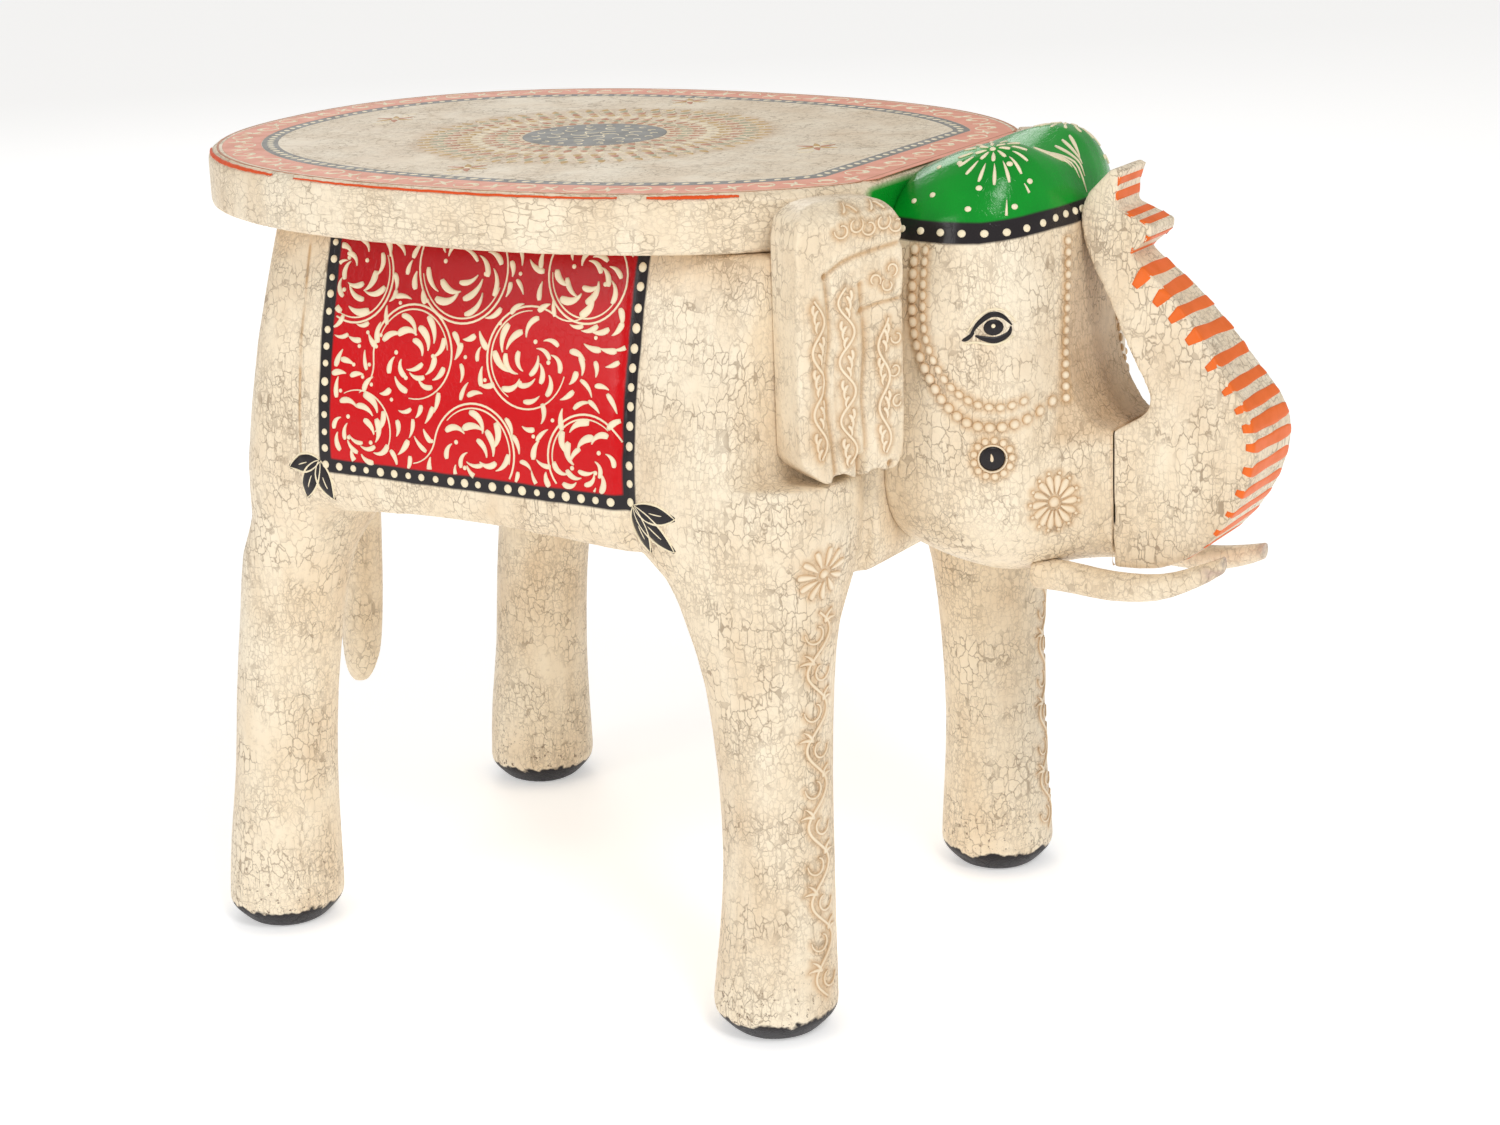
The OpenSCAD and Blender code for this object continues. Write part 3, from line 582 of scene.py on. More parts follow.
def shaded(bm, name):
    for face in bm.faces:
        face.smooth = True
    mesh = bpy.data.meshes.new(name)
    bm.to_mesh(mesh)
    bm.free()
    return mesh


def place_piece(name, mesh, material, slot_name, *nodes):
    mesh.materials.clear()
    mesh.materials.append(material)
    piece = link(name, mesh)
    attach(piece, "root")
    if nodes:
        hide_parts(*nodes)
    return piece


BODY_NODES = [
    "body_core", "right_flank", "left_flank", "neck_block",
    "front_right_leg", "front_left_leg", "rear_right_leg", "rear_left_leg",
]


def make_body(material):
    """The body's carved skin, smooth across the glue lines, parted into one piece a node."""
    bm = bmesh.new()
    for node in BODY_NODES:
        cad_copy(bm, node)
    skin = settled(bm, 1.5, 8)
    x_axis, y_axis = Vector((1, 0, 0)), Vector((0, 1, 0))
    rear, front, neck = at(REAR_JOINT, 0, 0), at(FRONT_JOINT, 0, 0), at(NECK_JOINT, 0, 0)
    cuts_of, made = {}, []
    for side, sign in SIDES.items():
        outer = (at(0, sign * HALF_CORE, 0), -sign * y_axis)
        cuts_of[f"rear_{side}_leg"] = [outer, (rear, x_axis)]
        cuts_of[f"{side}_flank"] = [outer, (rear, -x_axis), (front, x_axis)]
        cuts_of[f"front_{side}_leg"] = [outer, (front, -x_axis)]
    inner = [(at(0, HALF_CORE, 0), y_axis), (at(0, -HALF_CORE, 0), -y_axis)]
    cuts_of["body_core"] = inner + [(neck, x_axis)]
    cuts_of["neck_block"] = inner + [(neck, -x_axis)]
    for node, cuts in cuts_of.items():
        part = bmesh.new()
        part.from_mesh(skin)
        for place, normal in cuts:
            halve(part, place, normal)
        slot_name = "flank_paint" if node.endswith("flank") else "cream_paint"
        made.append(place_piece(f"{node}_skin", shaded(part, f"{node}_skin"), material, slot_name, node))
    return skin, made


# How far head and trunk run into each other while they are smoothed, in metres
JOIN = 0.0012


def make_head(material, trunk_material):
    """Head and trunk are smoothed together, so that they meet in one carved line."""
    split = 240
    slot_floor = 214
    x_axis, z_axis = Vector((1, 0, 0)), Vector((0, 0, 1))
    both = bmesh.new()
    cad_copy(both, "trunk")
    halve(both, at(0, 0, split), z_axis)
    bmesh.ops.translate(both, verts=both.verts[:], vec=-JOIN * x_axis)
    cad_copy(both, "head")
    head = bmesh.new()
    head.from_mesh(settled(both, 1.0, 7))
    halve(head, at(MUZZLE, 0, 0), x_axis)
    head_piece = place_piece("head_carving", shaded(head, "head_carving"), material, "head_paint", "head")

    both = bmesh.new()
    cad_copy(both, "head")
    halve(both, at(0, 0, slot_floor), z_axis)
    bmesh.ops.translate(both, verts=both.verts[:], vec=JOIN * x_axis)
    cad_copy(both, "trunk")
    trunk = bmesh.new()
    trunk.from_mesh(settled(both, 0.8, 7))
    geometry = trunk.verts[:] + trunk.edges[:] + trunk.faces[:]
    bmesh.ops.bisect_plane(trunk, geom=geometry, plane_co=at(MUZZLE, 0, 0), plane_no=x_axis, dist=1e-7)
    plane = ahead(MUZZLE) - 1e-6
    behind = [v for v in trunk.verts if v.co.x < plane and v.co.z < (slot_floor + 12) * MM]
    bmesh.ops.delete(trunk, geom=behind, context="VERTS")
    rim = [e for e in trunk.edges if e.is_boundary]
    close_cut(trunk, rim, -x_axis)
    trunk_piece = place_piece(
        "trunk_carving", shaded(trunk, "trunk_carving"), trunk_material, "trunk_paint", "trunk")
    return head_piece, trunk_piece


def make_single(node, name, voxel, rounds, material, slot_name, change=None):
    bm = bmesh.new()
    cad_copy(bm, node)
    part = bmesh.new()
    part.from_mesh(settled(bm, voxel, rounds))
    if change:
        change(part)
    return place_piece(name, shaded(part, name), material, slot_name, node)


def surface(mesh):
    """A tree of a mesh's faces, to lay decoration on."""
    places = [v.co.copy() for v in mesh.vertices]
    return BVHTree.FromPolygons(places, [face.vertices[:] for face in mesh.polygons])


# ---- Raised paste and brushed decoration ----


class Relief:
    """Strokes, dots and bands that stand a little above a surface, gathered into one mesh."""

    PROFILE = [(-1, -0.5), (-0.92, 0.35), (-0.5, 0.86), (0, 1), (0.5, 0.86), (0.92, 0.35), (1, -0.5)]

    def __init__(self):
        self.verts, self.faces, self.depths = [], [], []

    def rings(self, rings, depths, closed=False):
        """Joins rings of points into a closed form. Depths say how low each point of a ring lies."""
        count, start = len(rings[0]), len(self.verts)
        self.depths += depths
        for ring in rings:
            self.verts += ring
        last = len(rings) if closed else len(rings) - 1
        for r in range(last):
            a, b = start + r * count, start + ((r + 1) % len(rings)) * count
            for i in range(count):
                j = (i + 1) % count
                self.faces.append((a + i, a + j, b + j, b + i))
        if not closed:
            self.faces.append(tuple(reversed(range(start, start + count))))
            end = start + (len(rings) - 1) * count
            self.faces.append(tuple(range(end, end + count)))

    def stroke(self, chart, points, widths, height):
        """A rounded stroke through chart points. Widths are half widths along it, in mm."""
        laid = [(chart(u, v), w) for (u, v), w in zip(points, widths)]
        laid = [(hit, w) for hit, w in laid if hit]
        if len(laid) < 3:
            return
        rings = []
        for i, ((place, normal), width) in enumerate(laid):
            before, after = laid[max(i - 1, 0)][0][0], laid[min(i + 1, len(laid) - 1)][0][0]
            if (after - before).length > 0.02 or (after - before).length < 1e-7:
                return
            side = (after - before).cross(normal).normalized()
            thick = height * min(1.0, width / 0.3 + 0.2)
            rings.append([
                place + side * a * width * MM + normal * b * thick * MM for a, b in self.PROFILE])
        self.rings(rings, [1 - b if b < 1 else 0.0 for _, b in self.PROFILE] * len(rings))

    def line(self, chart, points, width, height=0.35, taper=0.35):
        widths = []
        for i in range(len(points)):
            t = min(max(i / (len(points) - 1), 0.04), 0.96)
            widths.append(width * (taper + (1 - taper) * math.sin(math.pi * t) ** 0.5))
        self.stroke(chart, points, widths, height)

    def comma(self, chart, points, width, height=0.5):
        """A stroke that is fat near its start and tapers to a point."""
        widths = []
        for i in range(len(points)):
            t = (0.04 + 0.94 * i / (len(points) - 1)) ** 0.55
            widths.append(width * (0.12 + 0.9 * math.sin(math.pi * t) ** 0.9))
        self.stroke(chart, points, widths, height)

    def leaf(self, chart, points, width, height=0.3):
        """A stroke that is fat in the middle and pointed at both ends."""
        widths = []
        for i in range(len(points)):
            t = (i + 0.3) / (len(points) - 0.4)
            widths.append(width * (0.1 + 0.9 * math.sin(math.pi * t) ** 0.8))
        self.stroke(chart, points, widths, height)

    def dot(self, chart, u, v, radius, height=None, long=1.0, turn=0.0):
        hit = chart(u, v)
        if not hit:
            return
        place, normal = hit
        height = radius * 0.6 if height is None else height
        across = normal.orthogonal().normalized()
        if abs(normal.z) < 0.9:
            across = Vector((0, 0, 1)).cross(normal).normalized()
        other = normal.cross(across)
        cells = 10 if radius < 1.2 else 14
        rings, depths = [], []
        for share, lift in ((1.0, -0.4), (1.0, 0.15), (0.82, 0.62), (0.45, 0.93), (0.06, 1.0)):
            depths += [1 - lift] * cells
            ring = []
            for i in range(cells):
                angle = 2 * math.pi * i / cells
                a, b = math.cos(angle) * long, math.sin(angle)
                c, d = a * math.cos(turn) - b * math.sin(turn), a * math.sin(turn) + b * math.cos(turn)
                sideways = radius * share * (c * across + d * other)
                ring.append(place + (sideways + height * lift * normal) * MM)
            rings.append(ring)
        self.rings(rings, depths)

    def band(self, outer, inner, height):
        """A flat band on the seat, between two closed outlines with the same number of points."""
        bevel = 0.7 * height
        profile = [(0, -0.1), (0, bevel), (0.02, height), (0.98, height), (1, bevel), (1, -0.1)]
        rings = []
        for (a, b), (c, d) in zip(outer, inner):
            rings.append([
                at(a + (c - a) * share, b + (d - b) * share, SEAT_TOP + lift) for share, lift in profile])
        self.rings(rings, [0.0] * len(profile) * len(rings), closed=True)

    def disc(self, outline, middle, height):
        """A flat disc on the seat, inside a closed outline."""
        s, y = middle
        rings = []
        for share, lift in ((1, -0.1), (1, 0.7 * height), (0.985, height), (0.5, height), (0.02, height)):
            rings.append([at(s + (a - s) * share, y + (b - y) * share, SEAT_TOP + lift) for a, b in outline])
        self.rings(rings, [0.0] * len(outline) * len(rings))

    def build(self, name, material, slot_name):
        """One piece from all that was laid, kept inside the CAD's box."""
        low, high = cad_box
        inside = [Vector(min(max(c, a), b) for c, a, b in zip(v, low, high)) for v in self.verts]
        mesh = bpy.data.meshes.new(name)
        mesh.from_pydata(inside, [], self.faces)
        depth = mesh.attributes.new("hollow", "FLOAT", "POINT")
        depth.data.foreach_set("value", [min(max(d, 0.0), 1.0) for d in self.depths])
        bm = bmesh.new()
        bm.from_mesh(mesh)
        bmesh.ops.recalc_face_normals(bm, faces=bm.faces[:])
        for face in bm.faces:
            face.smooth = True
        bm.to_mesh(mesh)
        bm.free()
        return place_piece(name, mesh, material, slot_name)


def land(tree, start, direction, reach):
    """Where a ray meets a surface, with the normal that faces the ray, or nothing."""
    place, normal, _, _ = tree.ray_cast(start, direction, reach)
    if place is None:
        return None
    return place, (-normal if normal.dot(direction) > 0 else normal)


def chart_on(tree, ray):
    """Lays a chart point on a surface by casting a ray. The ray gives a start and a direction."""
    return lambda u, v: land(tree, *ray(u, v), 0.5)


def level_only(chart):
    """A chart seen from above, left blank where the surface drops away steeply."""
    def lay(u, v):
        hit = chart(u, v)
        return hit if hit and hit[1].z > 0.3 and hit[0].z > (BAND_HIGH + 1) * MM else None
    return lay


def arc(middle, radius, start, sweep, count=14, shrink=0.0):
    """Points of an arc whose radius shrinks by a share along it. Angles are in degrees."""
    points = []
    for k in range(count + 1):
        t = k / count
        angle = math.radians(start + sweep * t)
        r = radius * (1 - shrink * t)
        points.append((middle[0] + r * math.cos(angle), middle[1] + r * math.sin(angle)))
    return points


def smooth(points, steps=6):
    """A Catmull-Rom curve through given points."""
    result = []
    for i in range(len(points) - 1):
        p = [Vector(points[min(max(j, 0), len(points) - 1)]) for j in (i - 1, i, i + 1, i + 2)]
        for k in range(steps):
            t = k / steps
            q = 0.5 * (2 * p[1] + (p[2] - p[0]) * t + (2 * p[0] - 5 * p[1] + 4 * p[2] - p[3]) * t * t
                       + (3 * p[1] - p[0] - 3 * p[2] + p[3]) * t ** 3)
            result.append((q.x, q.y))
    return result + [tuple(points[-1])]


def bent(start, length, heading, bend, count=7):
    """Points of a short stroke that turns by bend degrees along its length."""
    points, place = [start], Vector(start)
    for k in range(count):
        angle = math.radians(heading + bend * (k + 0.5) / count)
        place = place + Vector((math.cos(angle), math.sin(angle))) * length / count
        points.append((place.x, place.y))
    return points


# Whorls of the saddle cloth: middle, radius, the angle where it starts, and which way it turns
WHORLS = [
    ((-44, 262), 17.5, 60, -1), ((4, 268), 20, 160, 1), ((56, 269), 17, 150, 1),
    ((-15, 237), 18, 190, -1), ((34, 239), 18.5, 60, 1),
    ((-38, 208), 16.5, 150, -1), ((13, 205), 18, 170, -1), ((59, 207), 16.5, 20, 1),
]
# Commas inside a whorl: share of its radius, angle from its start, length in degrees, half width
CURLS = [
    (0.8, 22, 32, 1.15), (0.8, 68, 36, 1.35), (0.79, 116, 36, 1.35), (0.78, 164, 32, 1.2),
    (0.76, 208, 26, 1.05), (0.54, 44, 48, 1.25), (0.53, 112, 52, 1.3), (0.5, 186, 44, 1.1),
    (0.27, 90, 80, 1.1), (0.27, 220, 80, 0.95), (0.76, 246, 28, 1.05), (0.74, 288, 30, 1.15),
    (0.72, 330, 26, 1.0), (0.5, 246, 40, 1.0), (0.48, 304, 42, 1.05),
]


def draw_whorl(relief, chart, middle, radius, start, turn, draw):
    """A vine that curls round the commas inside it and runs on past its start."""
    ring = arc(middle, radius, start, turn * 285, 36, 0.14)
    tail = bent(ring[0], radius * 0.8, start - turn * 90, turn * 70, 8)
    relief.line(chart, list(reversed(tail))[:-1] + ring, 0.42)
    relief.line(chart, arc(middle, radius - 1.8, start + turn * 30, turn * 150, 24, 0.1), 0.34)
    for share, angle, length, width in CURLS:
        from_middle = start + turn * (angle + draw.uniform(-6, 6))
        spot = arc(middle, radius * share, from_middle, 1, 1)[0]
        heading = from_middle + turn * (90 + draw.uniform(-6, 26))
        reach = 1.12 * radius * share * math.radians(length)
        curve = bent(spot, reach, heading, turn * draw.uniform(55, 105), 9)
        relief.comma(chart, curve, width * draw.uniform(0.85, 1.15))
    for angle in (10, 190, 300):
        spot = arc(middle, radius * draw.uniform(0.35, 0.5), start + turn * angle, 1, 1)[0]
        relief.dot(chart, spot[0], spot[1], 0.85, 0.45)


def draw_cloth(relief, beads, chart, draw):
    """The cream work on one side's cloth: whorls, the commas between them and the bead border."""
    def within(u, v):
        free = CLOTH_REAR + BORDER < u < CLOTH_FRONT - BORDER and v > CLOTH_LOW + BORDER
        return chart(u, v) if free else None
    for whorl in WHORLS:
        draw_whorl(relief, within, *whorl, draw)
    step, margin = 5.8, BORDER + 2.0
    rows = int((SEAT_UNDER - CLOTH_LOW) / step)
    columns = int((CLOTH_FRONT - CLOTH_REAR) / step)
    for row in range(rows + 1):
        for column in range(columns + 1):
            u = CLOTH_REAR + margin + column * step + draw.uniform(-1.3, 1.3) + (row % 2) * step / 2
            v = CLOTH_LOW + margin + row * step + draw.uniform(-1.3, 1.3)
            gap, centre = min((math.dist((u, v), middle) - radius, middle) for middle, radius, *_ in WHORLS)
            if gap < 0.7 or u > CLOTH_FRONT - margin or v > SEAT_UNDER:
                continue
            outward = math.atan2(v - centre[1], u - centre[0])
            heading = math.degrees(outward) + draw.choice((50, 75, 120))
            length = draw.uniform(5.2, 7.8)
            angle = math.radians(heading)
            start = (u - 0.5 * length * math.cos(angle), v - 0.5 * length * math.sin(angle))
            curve = bent(start, length, heading, draw.uniform(20, 70))
            relief.comma(within, list(reversed(curve)), draw.uniform(0.85, 1.25))
            if draw.random() < 0.25:
                relief.dot(within, u + 2.6, v - 1.4, 0.75, 0.45)
    half = BORDER / 2
    height, width = SEAT_UNDER - CLOTH_LOW, CLOTH_FRONT - CLOTH_REAR
    for place, heading, spacing, count, small, large in (
        ((CLOTH_REAR + half, CLOTH_LOW + half), (0, 1), 6.1, int(height / 6.1), 1.2, 1.6),
        ((CLOTH_FRONT - half, CLOTH_LOW + half), (0, 1), 6.6, int(height / 6.6), 1.4, 1.8),
        ((CLOTH_REAR + half + 6.2, CLOTH_LOW + half), (1, 0), 6.2, int(width / 6.2) - 1, 1.2, 1.7),
    ):
        for k in range(count):
            along = spacing * k + draw.uniform(-0.3, 0.3)
            u, v = place[0] + heading[0] * along, place[1] + heading[1] * along
            beads.dot(chart, u, v, draw.uniform(small, large), 0.6)


def draw_tassel(black, relief, chart, corner, headings, length):
    """Three black leaves with cream outlines, spread from a corner of the cloth."""
    for heading, share in headings:
        reach = length * share
        middle = bent(corner, reach, heading, 14, 10)
        black.leaf(chart, middle, 3.1, 0.28)
        for side in (-1, 1):
            edge = []
            for i, (u, v) in enumerate(middle):
                swell = 3.5 * math.sin(math.pi * min((i + 0.2) / 10, 1.0)) ** 0.8
                angle = math.radians(heading + 14 * i / 10 + 90 * side)
                edge.append((u + swell * math.cos(angle), v + swell * math.sin(angle)))
            relief.line(chart, edge, 0.42, 0.4)
        vein = bent(corner, reach * 0.4, heading, 6)[-1]
        relief.line(chart, bent(vein, reach * 0.3, heading + 8, 6), 0.3, 0.5)


def seat_outline(inset, count=176, front=None):
    """The seat's outline, drawn in by so many millimetres, with its straight front edge."""
    front = inset if front is None else front
    half_width, curve, squareness = 121.5 - inset, 160 - inset, 2.3
    points = []
    for k in range(count):
        angle = 2 * math.pi * k / count
        reach = (SEAT_REAR - inset) if math.cos(angle) < 0 else curve
        s = reach * math.copysign(abs(math.cos(angle)) ** (2 / squareness), math.cos(angle))
        y = half_width * math.copysign(abs(math.sin(angle)) ** (2 / squareness), math.sin(angle))
        points.append((min(s, SEAT_FRONT - front), y))
    return points


def outline_walk(outline, spacing):
    """Places, evenly spaced round a closed outline, with the heading in degrees at each."""
    lengths = [math.dist(a, b) for a, b in zip(outline, outline[1:] + outline[:1])]
    total = sum(lengths)
    count = round(total / spacing)
    result, done, i = [], 0.0, 0
    for k in range(count):
        goal = total * k / count
        while done + lengths[i] < goal:
            done += lengths[i]
            i += 1
        a, b = outline[i], outline[(i + 1) % len(outline)]
        t = (goal - done) / max(lengths[i], 1e-9)
        heading = math.degrees(math.atan2(b[1] - a[1], b[0] - a[0]))
        result.append(((a[0] + (b[0] - a[0]) * t, a[1] + (b[1] - a[1]) * t), heading))
    return result


SEAT_FLOWERS = [(-104, 8), (-5, -80), (-17, 87), (90, 2)]
# Rings of petals round the medallion: radius, how many, petal length, half width, paint
PETAL_RINGS = [
    (30.5, 34, 4.6, 1.5, "rust"), (35, 38, 4.8, 1.4, "leaf"), (39.5, 42, 5.0, 1.6, "rust"),
    (44.5, 46, 5.0, 1.4, "cream"), (49, 48, 5.2, 1.7, "ochre"), (54, 52, 5.2, 1.6, "rust"),
    (59, 56, 5.2, 1.6, "leaf"), (64, 60, 5.0, 1.5, "ochre"),
]


def draw_seat(chart, draw):
    """The seat's border of scrolls, its beaded line, the medallion and four small flowers."""
    names = ("line", "border", "slate", "cream", "scroll", "rust", "ochre", "leaf")
    reliefs = {name: Relief() for name in names}
    slate, cream, scroll = reliefs["slate"], reliefs["cream"], reliefs["scroll"]
    reliefs["line"].band(seat_outline(3.2), seat_outline(4.0), 0.06)
    reliefs["border"].band(seat_outline(5.2, front=0.6), seat_outline(19.2), 0.05)
    slate.band(seat_outline(19.4), seat_outline(25.2), 0.06)
    for (s, y), heading in outline_walk(seat_outline(22.4), 5.2):
        cream.dot(chart, s, y, 1.15, 0.22, 1.5, math.radians(heading) + draw.uniform(-0.1, 0.1))
    for k, ((s, y), heading) in enumerate(outline_walk(seat_outline(12.0), 21.0)):
        flip = 1 if k % 2 else -1
        away = math.radians(heading + 90 * flip)
        middle = (s + 0.8 * math.cos(away), y + 0.8 * math.sin(away))
        scroll.line(chart, arc(middle, 5.2, heading + 180, -flip * 300, 22, 0.45), 0.42, 0.2)
        scroll.comma(chart, arc(middle, 2.6, heading, -flip * 200, 10, 0.4), 0.8, 0.2)
        joint = (s + 10.5 * math.cos(math.radians(heading)), y + 10.5 * math.sin(math.radians(heading)))
        for turn in (-60, 60, 130, -130):
            scroll.comma(chart, bent(joint, 4.6, heading + turn, 40 * flip), 0.8, 0.2)
    disc = arc(MEDALLION, 27, 0, 360, 60)[:-1]
    slate.disc(disc, MEDALLION, 0.06)
    for count, radius, length in ((6, 6, 9), (12, 15, 7), (18, 22, 4)):
        for k in range(count):
            angle = 360 * k / count + 8
            spot = arc(MEDALLION, radius, angle, 1, 1)[0]
            cream.line(chart, arc((spot[0], spot[1]), length * 0.4, angle, 250, 12, 0.4), 0.36, 0.16)
    for radius, count, length, width, paint_name in PETAL_RINGS:
        for k in range(count):
            angle = 360 * (k + 0.5 * (radius % 2)) / count
            spot = arc(MEDALLION, radius - length / 2, angle, 1, 1)[0]
            petal = bent(spot, length, angle, draw.uniform(-20, 20), 6)
            reliefs[paint_name].comma(chart, petal, width, 0.1)
            if k % 2 == 0:
                cream.line(chart, arc(spot, width + 0.9, angle - 120, 240, 8), 0.24, 0.16)
    for middle in SEAT_FLOWERS:
        for k in range(6):
            start = arc(middle, 1.6, 60 * k, 1, 1)[0]
            reliefs["rust" if k % 2 else "ochre"].comma(chart, bent(start, 6.5, 60 * k, 12), 1.3, 0.1)
        for turn in (-1, 1):
            curl = arc((middle[0], middle[1] + turn * 10), 4, 90, turn * 200, 12, 0.3)
            cream.line(chart, curl, 0.4, 0.16)
        cream.dot(chart, middle[0], middle[1], 1.3, 0.2)
    return reliefs


def draw_seat_edge(relief, draw):
    """Broken strokes of bright orange along the near edge of the seat."""
    outline = seat_outline(0.5, 360)
    def lay(u, v):
        i = int(u) % len(outline)
        a, b = outline[i], outline[(i + 1) % len(outline)]
        t = u - int(u)
        s, y = a[0] + (b[0] - a[0]) * t, a[1] + (b[1] - a[1]) * t
        ahead_of = outline[(i + 1) % len(outline)]
        along = Vector((ahead_of[0] - a[0], ahead_of[1] - a[1], 0)).normalized()
        outward = Vector((along.y, -along.x, 0))
        normal = (outward + Vector((0, 0, 1.1))).normalized()
        return at(s, y, SEAT_TOP - 0.9 + v) + outward * -0.0006, normal
    for first, last, width in ((213, 247, 0.85), (252, 296, 0.5), (300, 313, 0.75)):
        points = [(first + (last - first) * k / 60, draw.uniform(-0.12, 0.12)) for k in range(61)]
        relief.line(lay, points, width, 0.18)


def side_ray(sign, depth=0.0, lean=0.0):
    """Rays that come in from one side, some of them leaning in from ahead. A chart point is
    (s, z) where the ray is depth away from the middle."""
    direction = Vector((-lean, -sign, 0)).normalized()
    def ray(u, v):
        return at(u, sign * depth, v) - direction * 0.25, direction
    return ray


def top_ray(u, v):
    return at(u, v, 400), Vector((0, 0, -1))


HEAD_AXIS = 168


def head_ray(sign):
    """Rays towards the head's upright axis. A chart point is (angle from ahead, z)."""
    def ray(u, v):
        angle = math.radians(u)
        out = Vector((math.cos(angle), sign * math.sin(angle), 0))
        return at(HEAD_AXIS, 0, v) + out * 0.2, -out
    return ray


# How far from the middle the cheek and the muzzle lie, for rays that lean
HEAD_SIDE, MUZZLE_SIDE = 52, 36
# The two strings of beads on a cheek, from the ear down and round below the eye, as (s, z)
OUTER_STRING = [
    (158, 277), (157.5, 262), (158, 251), (160, 243), (164, 234), (169, 226), (176.5, 219.5),
    (185.4, 217.5), (194, 218.5), (201, 222), (206, 226),
]
INNER_STRING = [
    (162, 277), (161.5, 262), (162.5, 248), (168, 236), (174, 229.5), (181, 225.6), (189, 224.4), (196, 226),
]
# The eye's lines round its middle, each from the rear to the front
EYE = (186, 252)
UPPER_LID = [(-10, -3.8), (-6.5, 1.6), (-1, 5.6), (4, 4.8), (8, 0.4)]
LOWER_LID = [(-7.6, -3.4), (-3.6, -4.8), (1.5, -5.6), (6.4, -3.4), (7.6, 0)]
EYE_CORNER = [(-13.5, -5.6), (-11, -4.6), (-8, -2)]
BROW_FOLD = [(-11.5, -2.8), (-7, 4), (-0.6, 8), (5.5, 6.6), (9.4, 1.4)]
CHEEK_FOLD = [(-12.5, -7), (-7, -6.4), (1.5, -7.6), (8.6, -4.6)]


def draw_eye(black, cream, chart):
    """A long eye with a black rim, a cream fold above and below it and a cream dot as a painted highlight.
    """
    share = 0.76
    def near(u, v):
        return chart(EYE[0] + share * u, EYE[1] + share * v)
    black.leaf(near, smooth(UPPER_LID, 8), 1.0, 0.35)
    black.leaf(near, smooth(LOWER_LID, 8), 1.15, 0.35)
    black.leaf(near, smooth(EYE_CORNER, 6), 0.8, 0.35)
    black.dot(near, 0.4, 0, 2.75, 0.5, 1.25)
    # Painted highlight: a cream dot on the black of the eye.
    cream.dot(near, 0.2, 0.7, 0.85, 0.9)
    cream.line(near, smooth(BROW_FOLD, 8), 0.4, 0.4)
    cream.line(near, smooth(CHEEK_FOLD, 8), 0.45, 0.45)


def draw_pendant(black, cream, chart):
    middle = (185.3, 206.6)
    black.dot(chart, middle[0], middle[1], 4.4, 0.6)
    cream.line(chart, arc(middle, 4.7, 0, 359, 30), 0.42, 0.75, 0.9)
    cream.comma(chart, bent((middle[0] - 0.2, middle[1] - 0.9), 2.8, 84, 20, 6), 0.85, 0.9)
    for k in range(13):
        u, v = arc(middle, 6.4, 360 * k / 13, 1, 1)[0]
        cream.dot(chart, u, v, 1.35, 0.8)


def draw_rosette(relief, chart, middle, radius, petals, width):
    for k in range(petals):
        angle = 360 * k / petals
        start = arc(middle, radius * 0.3, angle, 1, 1)[0]
        relief.comma(chart, list(reversed(bent(start, radius * 0.62, angle, 10, 7))), width, 0.8)
        tip = arc(middle, radius, angle, 1, 1)[0]
        relief.dot(chart, tip[0], tip[1], 0.75, 0.6)
    relief.dot(chart, middle[0], middle[1], radius * 0.2, 0.8)


def draw_beads(relief, chart, points, spacing, radius, long=1.0):
    done = 0.0
    for a, b in zip(points, points[1:]):
        step = math.dist(a, b)
        while done < step:
            u, v = Vector(a).lerp(Vector(b), done / step)
            turn = math.atan2(b[1] - a[1], b[0] - a[0])
            relief.dot(chart, u, v, radius, radius * 0.75, long, turn)
            done += spacing
        done -= step


# A sprig beside a cap flower, as start, heading and length, and the dots below it as (angle, z)
CAP_SPRIG = [((187, 37), 40, 7), ((188, 35), 10, 8), ((186, 39), 68, 6.5), ((189, 32), -16, 6)]
CAP_DOTS = [
    (112, 291), (96, 295), (84, 291), (104, 302), (74, 297), (62, 292), (90, 304), (50, 299), (66, 304),
]


def draw_cap(cream, chart, band_chart, draw):
    """Cream flowers, sprigs and dots on one half of the green cap, and the beads of its band."""
    middle = (176, 29)
    for count, radius, length, width in ((8, 2.0, 3.8, 0.75), (14, 6.6, 5.2, 0.66)):
        for k in range(count):
            angle = 360 * (k + 0.3) / count
            start = arc(middle, radius, angle, 1, 1)[0]
            cream.comma(chart, list(reversed(bent(start, length, angle, 12, 6))), width, 0.5)
    cream.dot(chart, middle[0], middle[1], 1.1, 0.5)
    for start, heading, length in CAP_SPRIG:
        cream.comma(chart, list(reversed(bent(start, length, heading, 10, 7))), 0.9, 0.5)
    for k in range(17):
        angle = -14 + 8.8 * k
        rise = 3.0 * ease((math.cos(math.radians(angle)) - 0.35) / 0.65)
        cream.dot(band_chart, angle, (BAND_LOW + BAND_HIGH) / 2 + rise, 1.3, 0.6, 1.1)
    for angle, z in CAP_DOTS:
        cream.dot(band_chart, angle + draw.uniform(-4, 4), z + draw.uniform(-1, 1), 1.0, 0.5, 1.2)


def draw_fan(cream, chart):
    """The fan of long teardrops in the valley of the cap."""
    for k in range(7):
        heading = 126 + 18 * k
        start = (197 - 0.1 * abs(heading - 180), 0.11 * (180 - heading))
        petal = bent(start, 14 - 0.05 * abs(heading - 180), heading, (180 - heading) * 0.25, 9)
        cream.comma(chart, list(reversed(petal)), 0.8, 0.5)


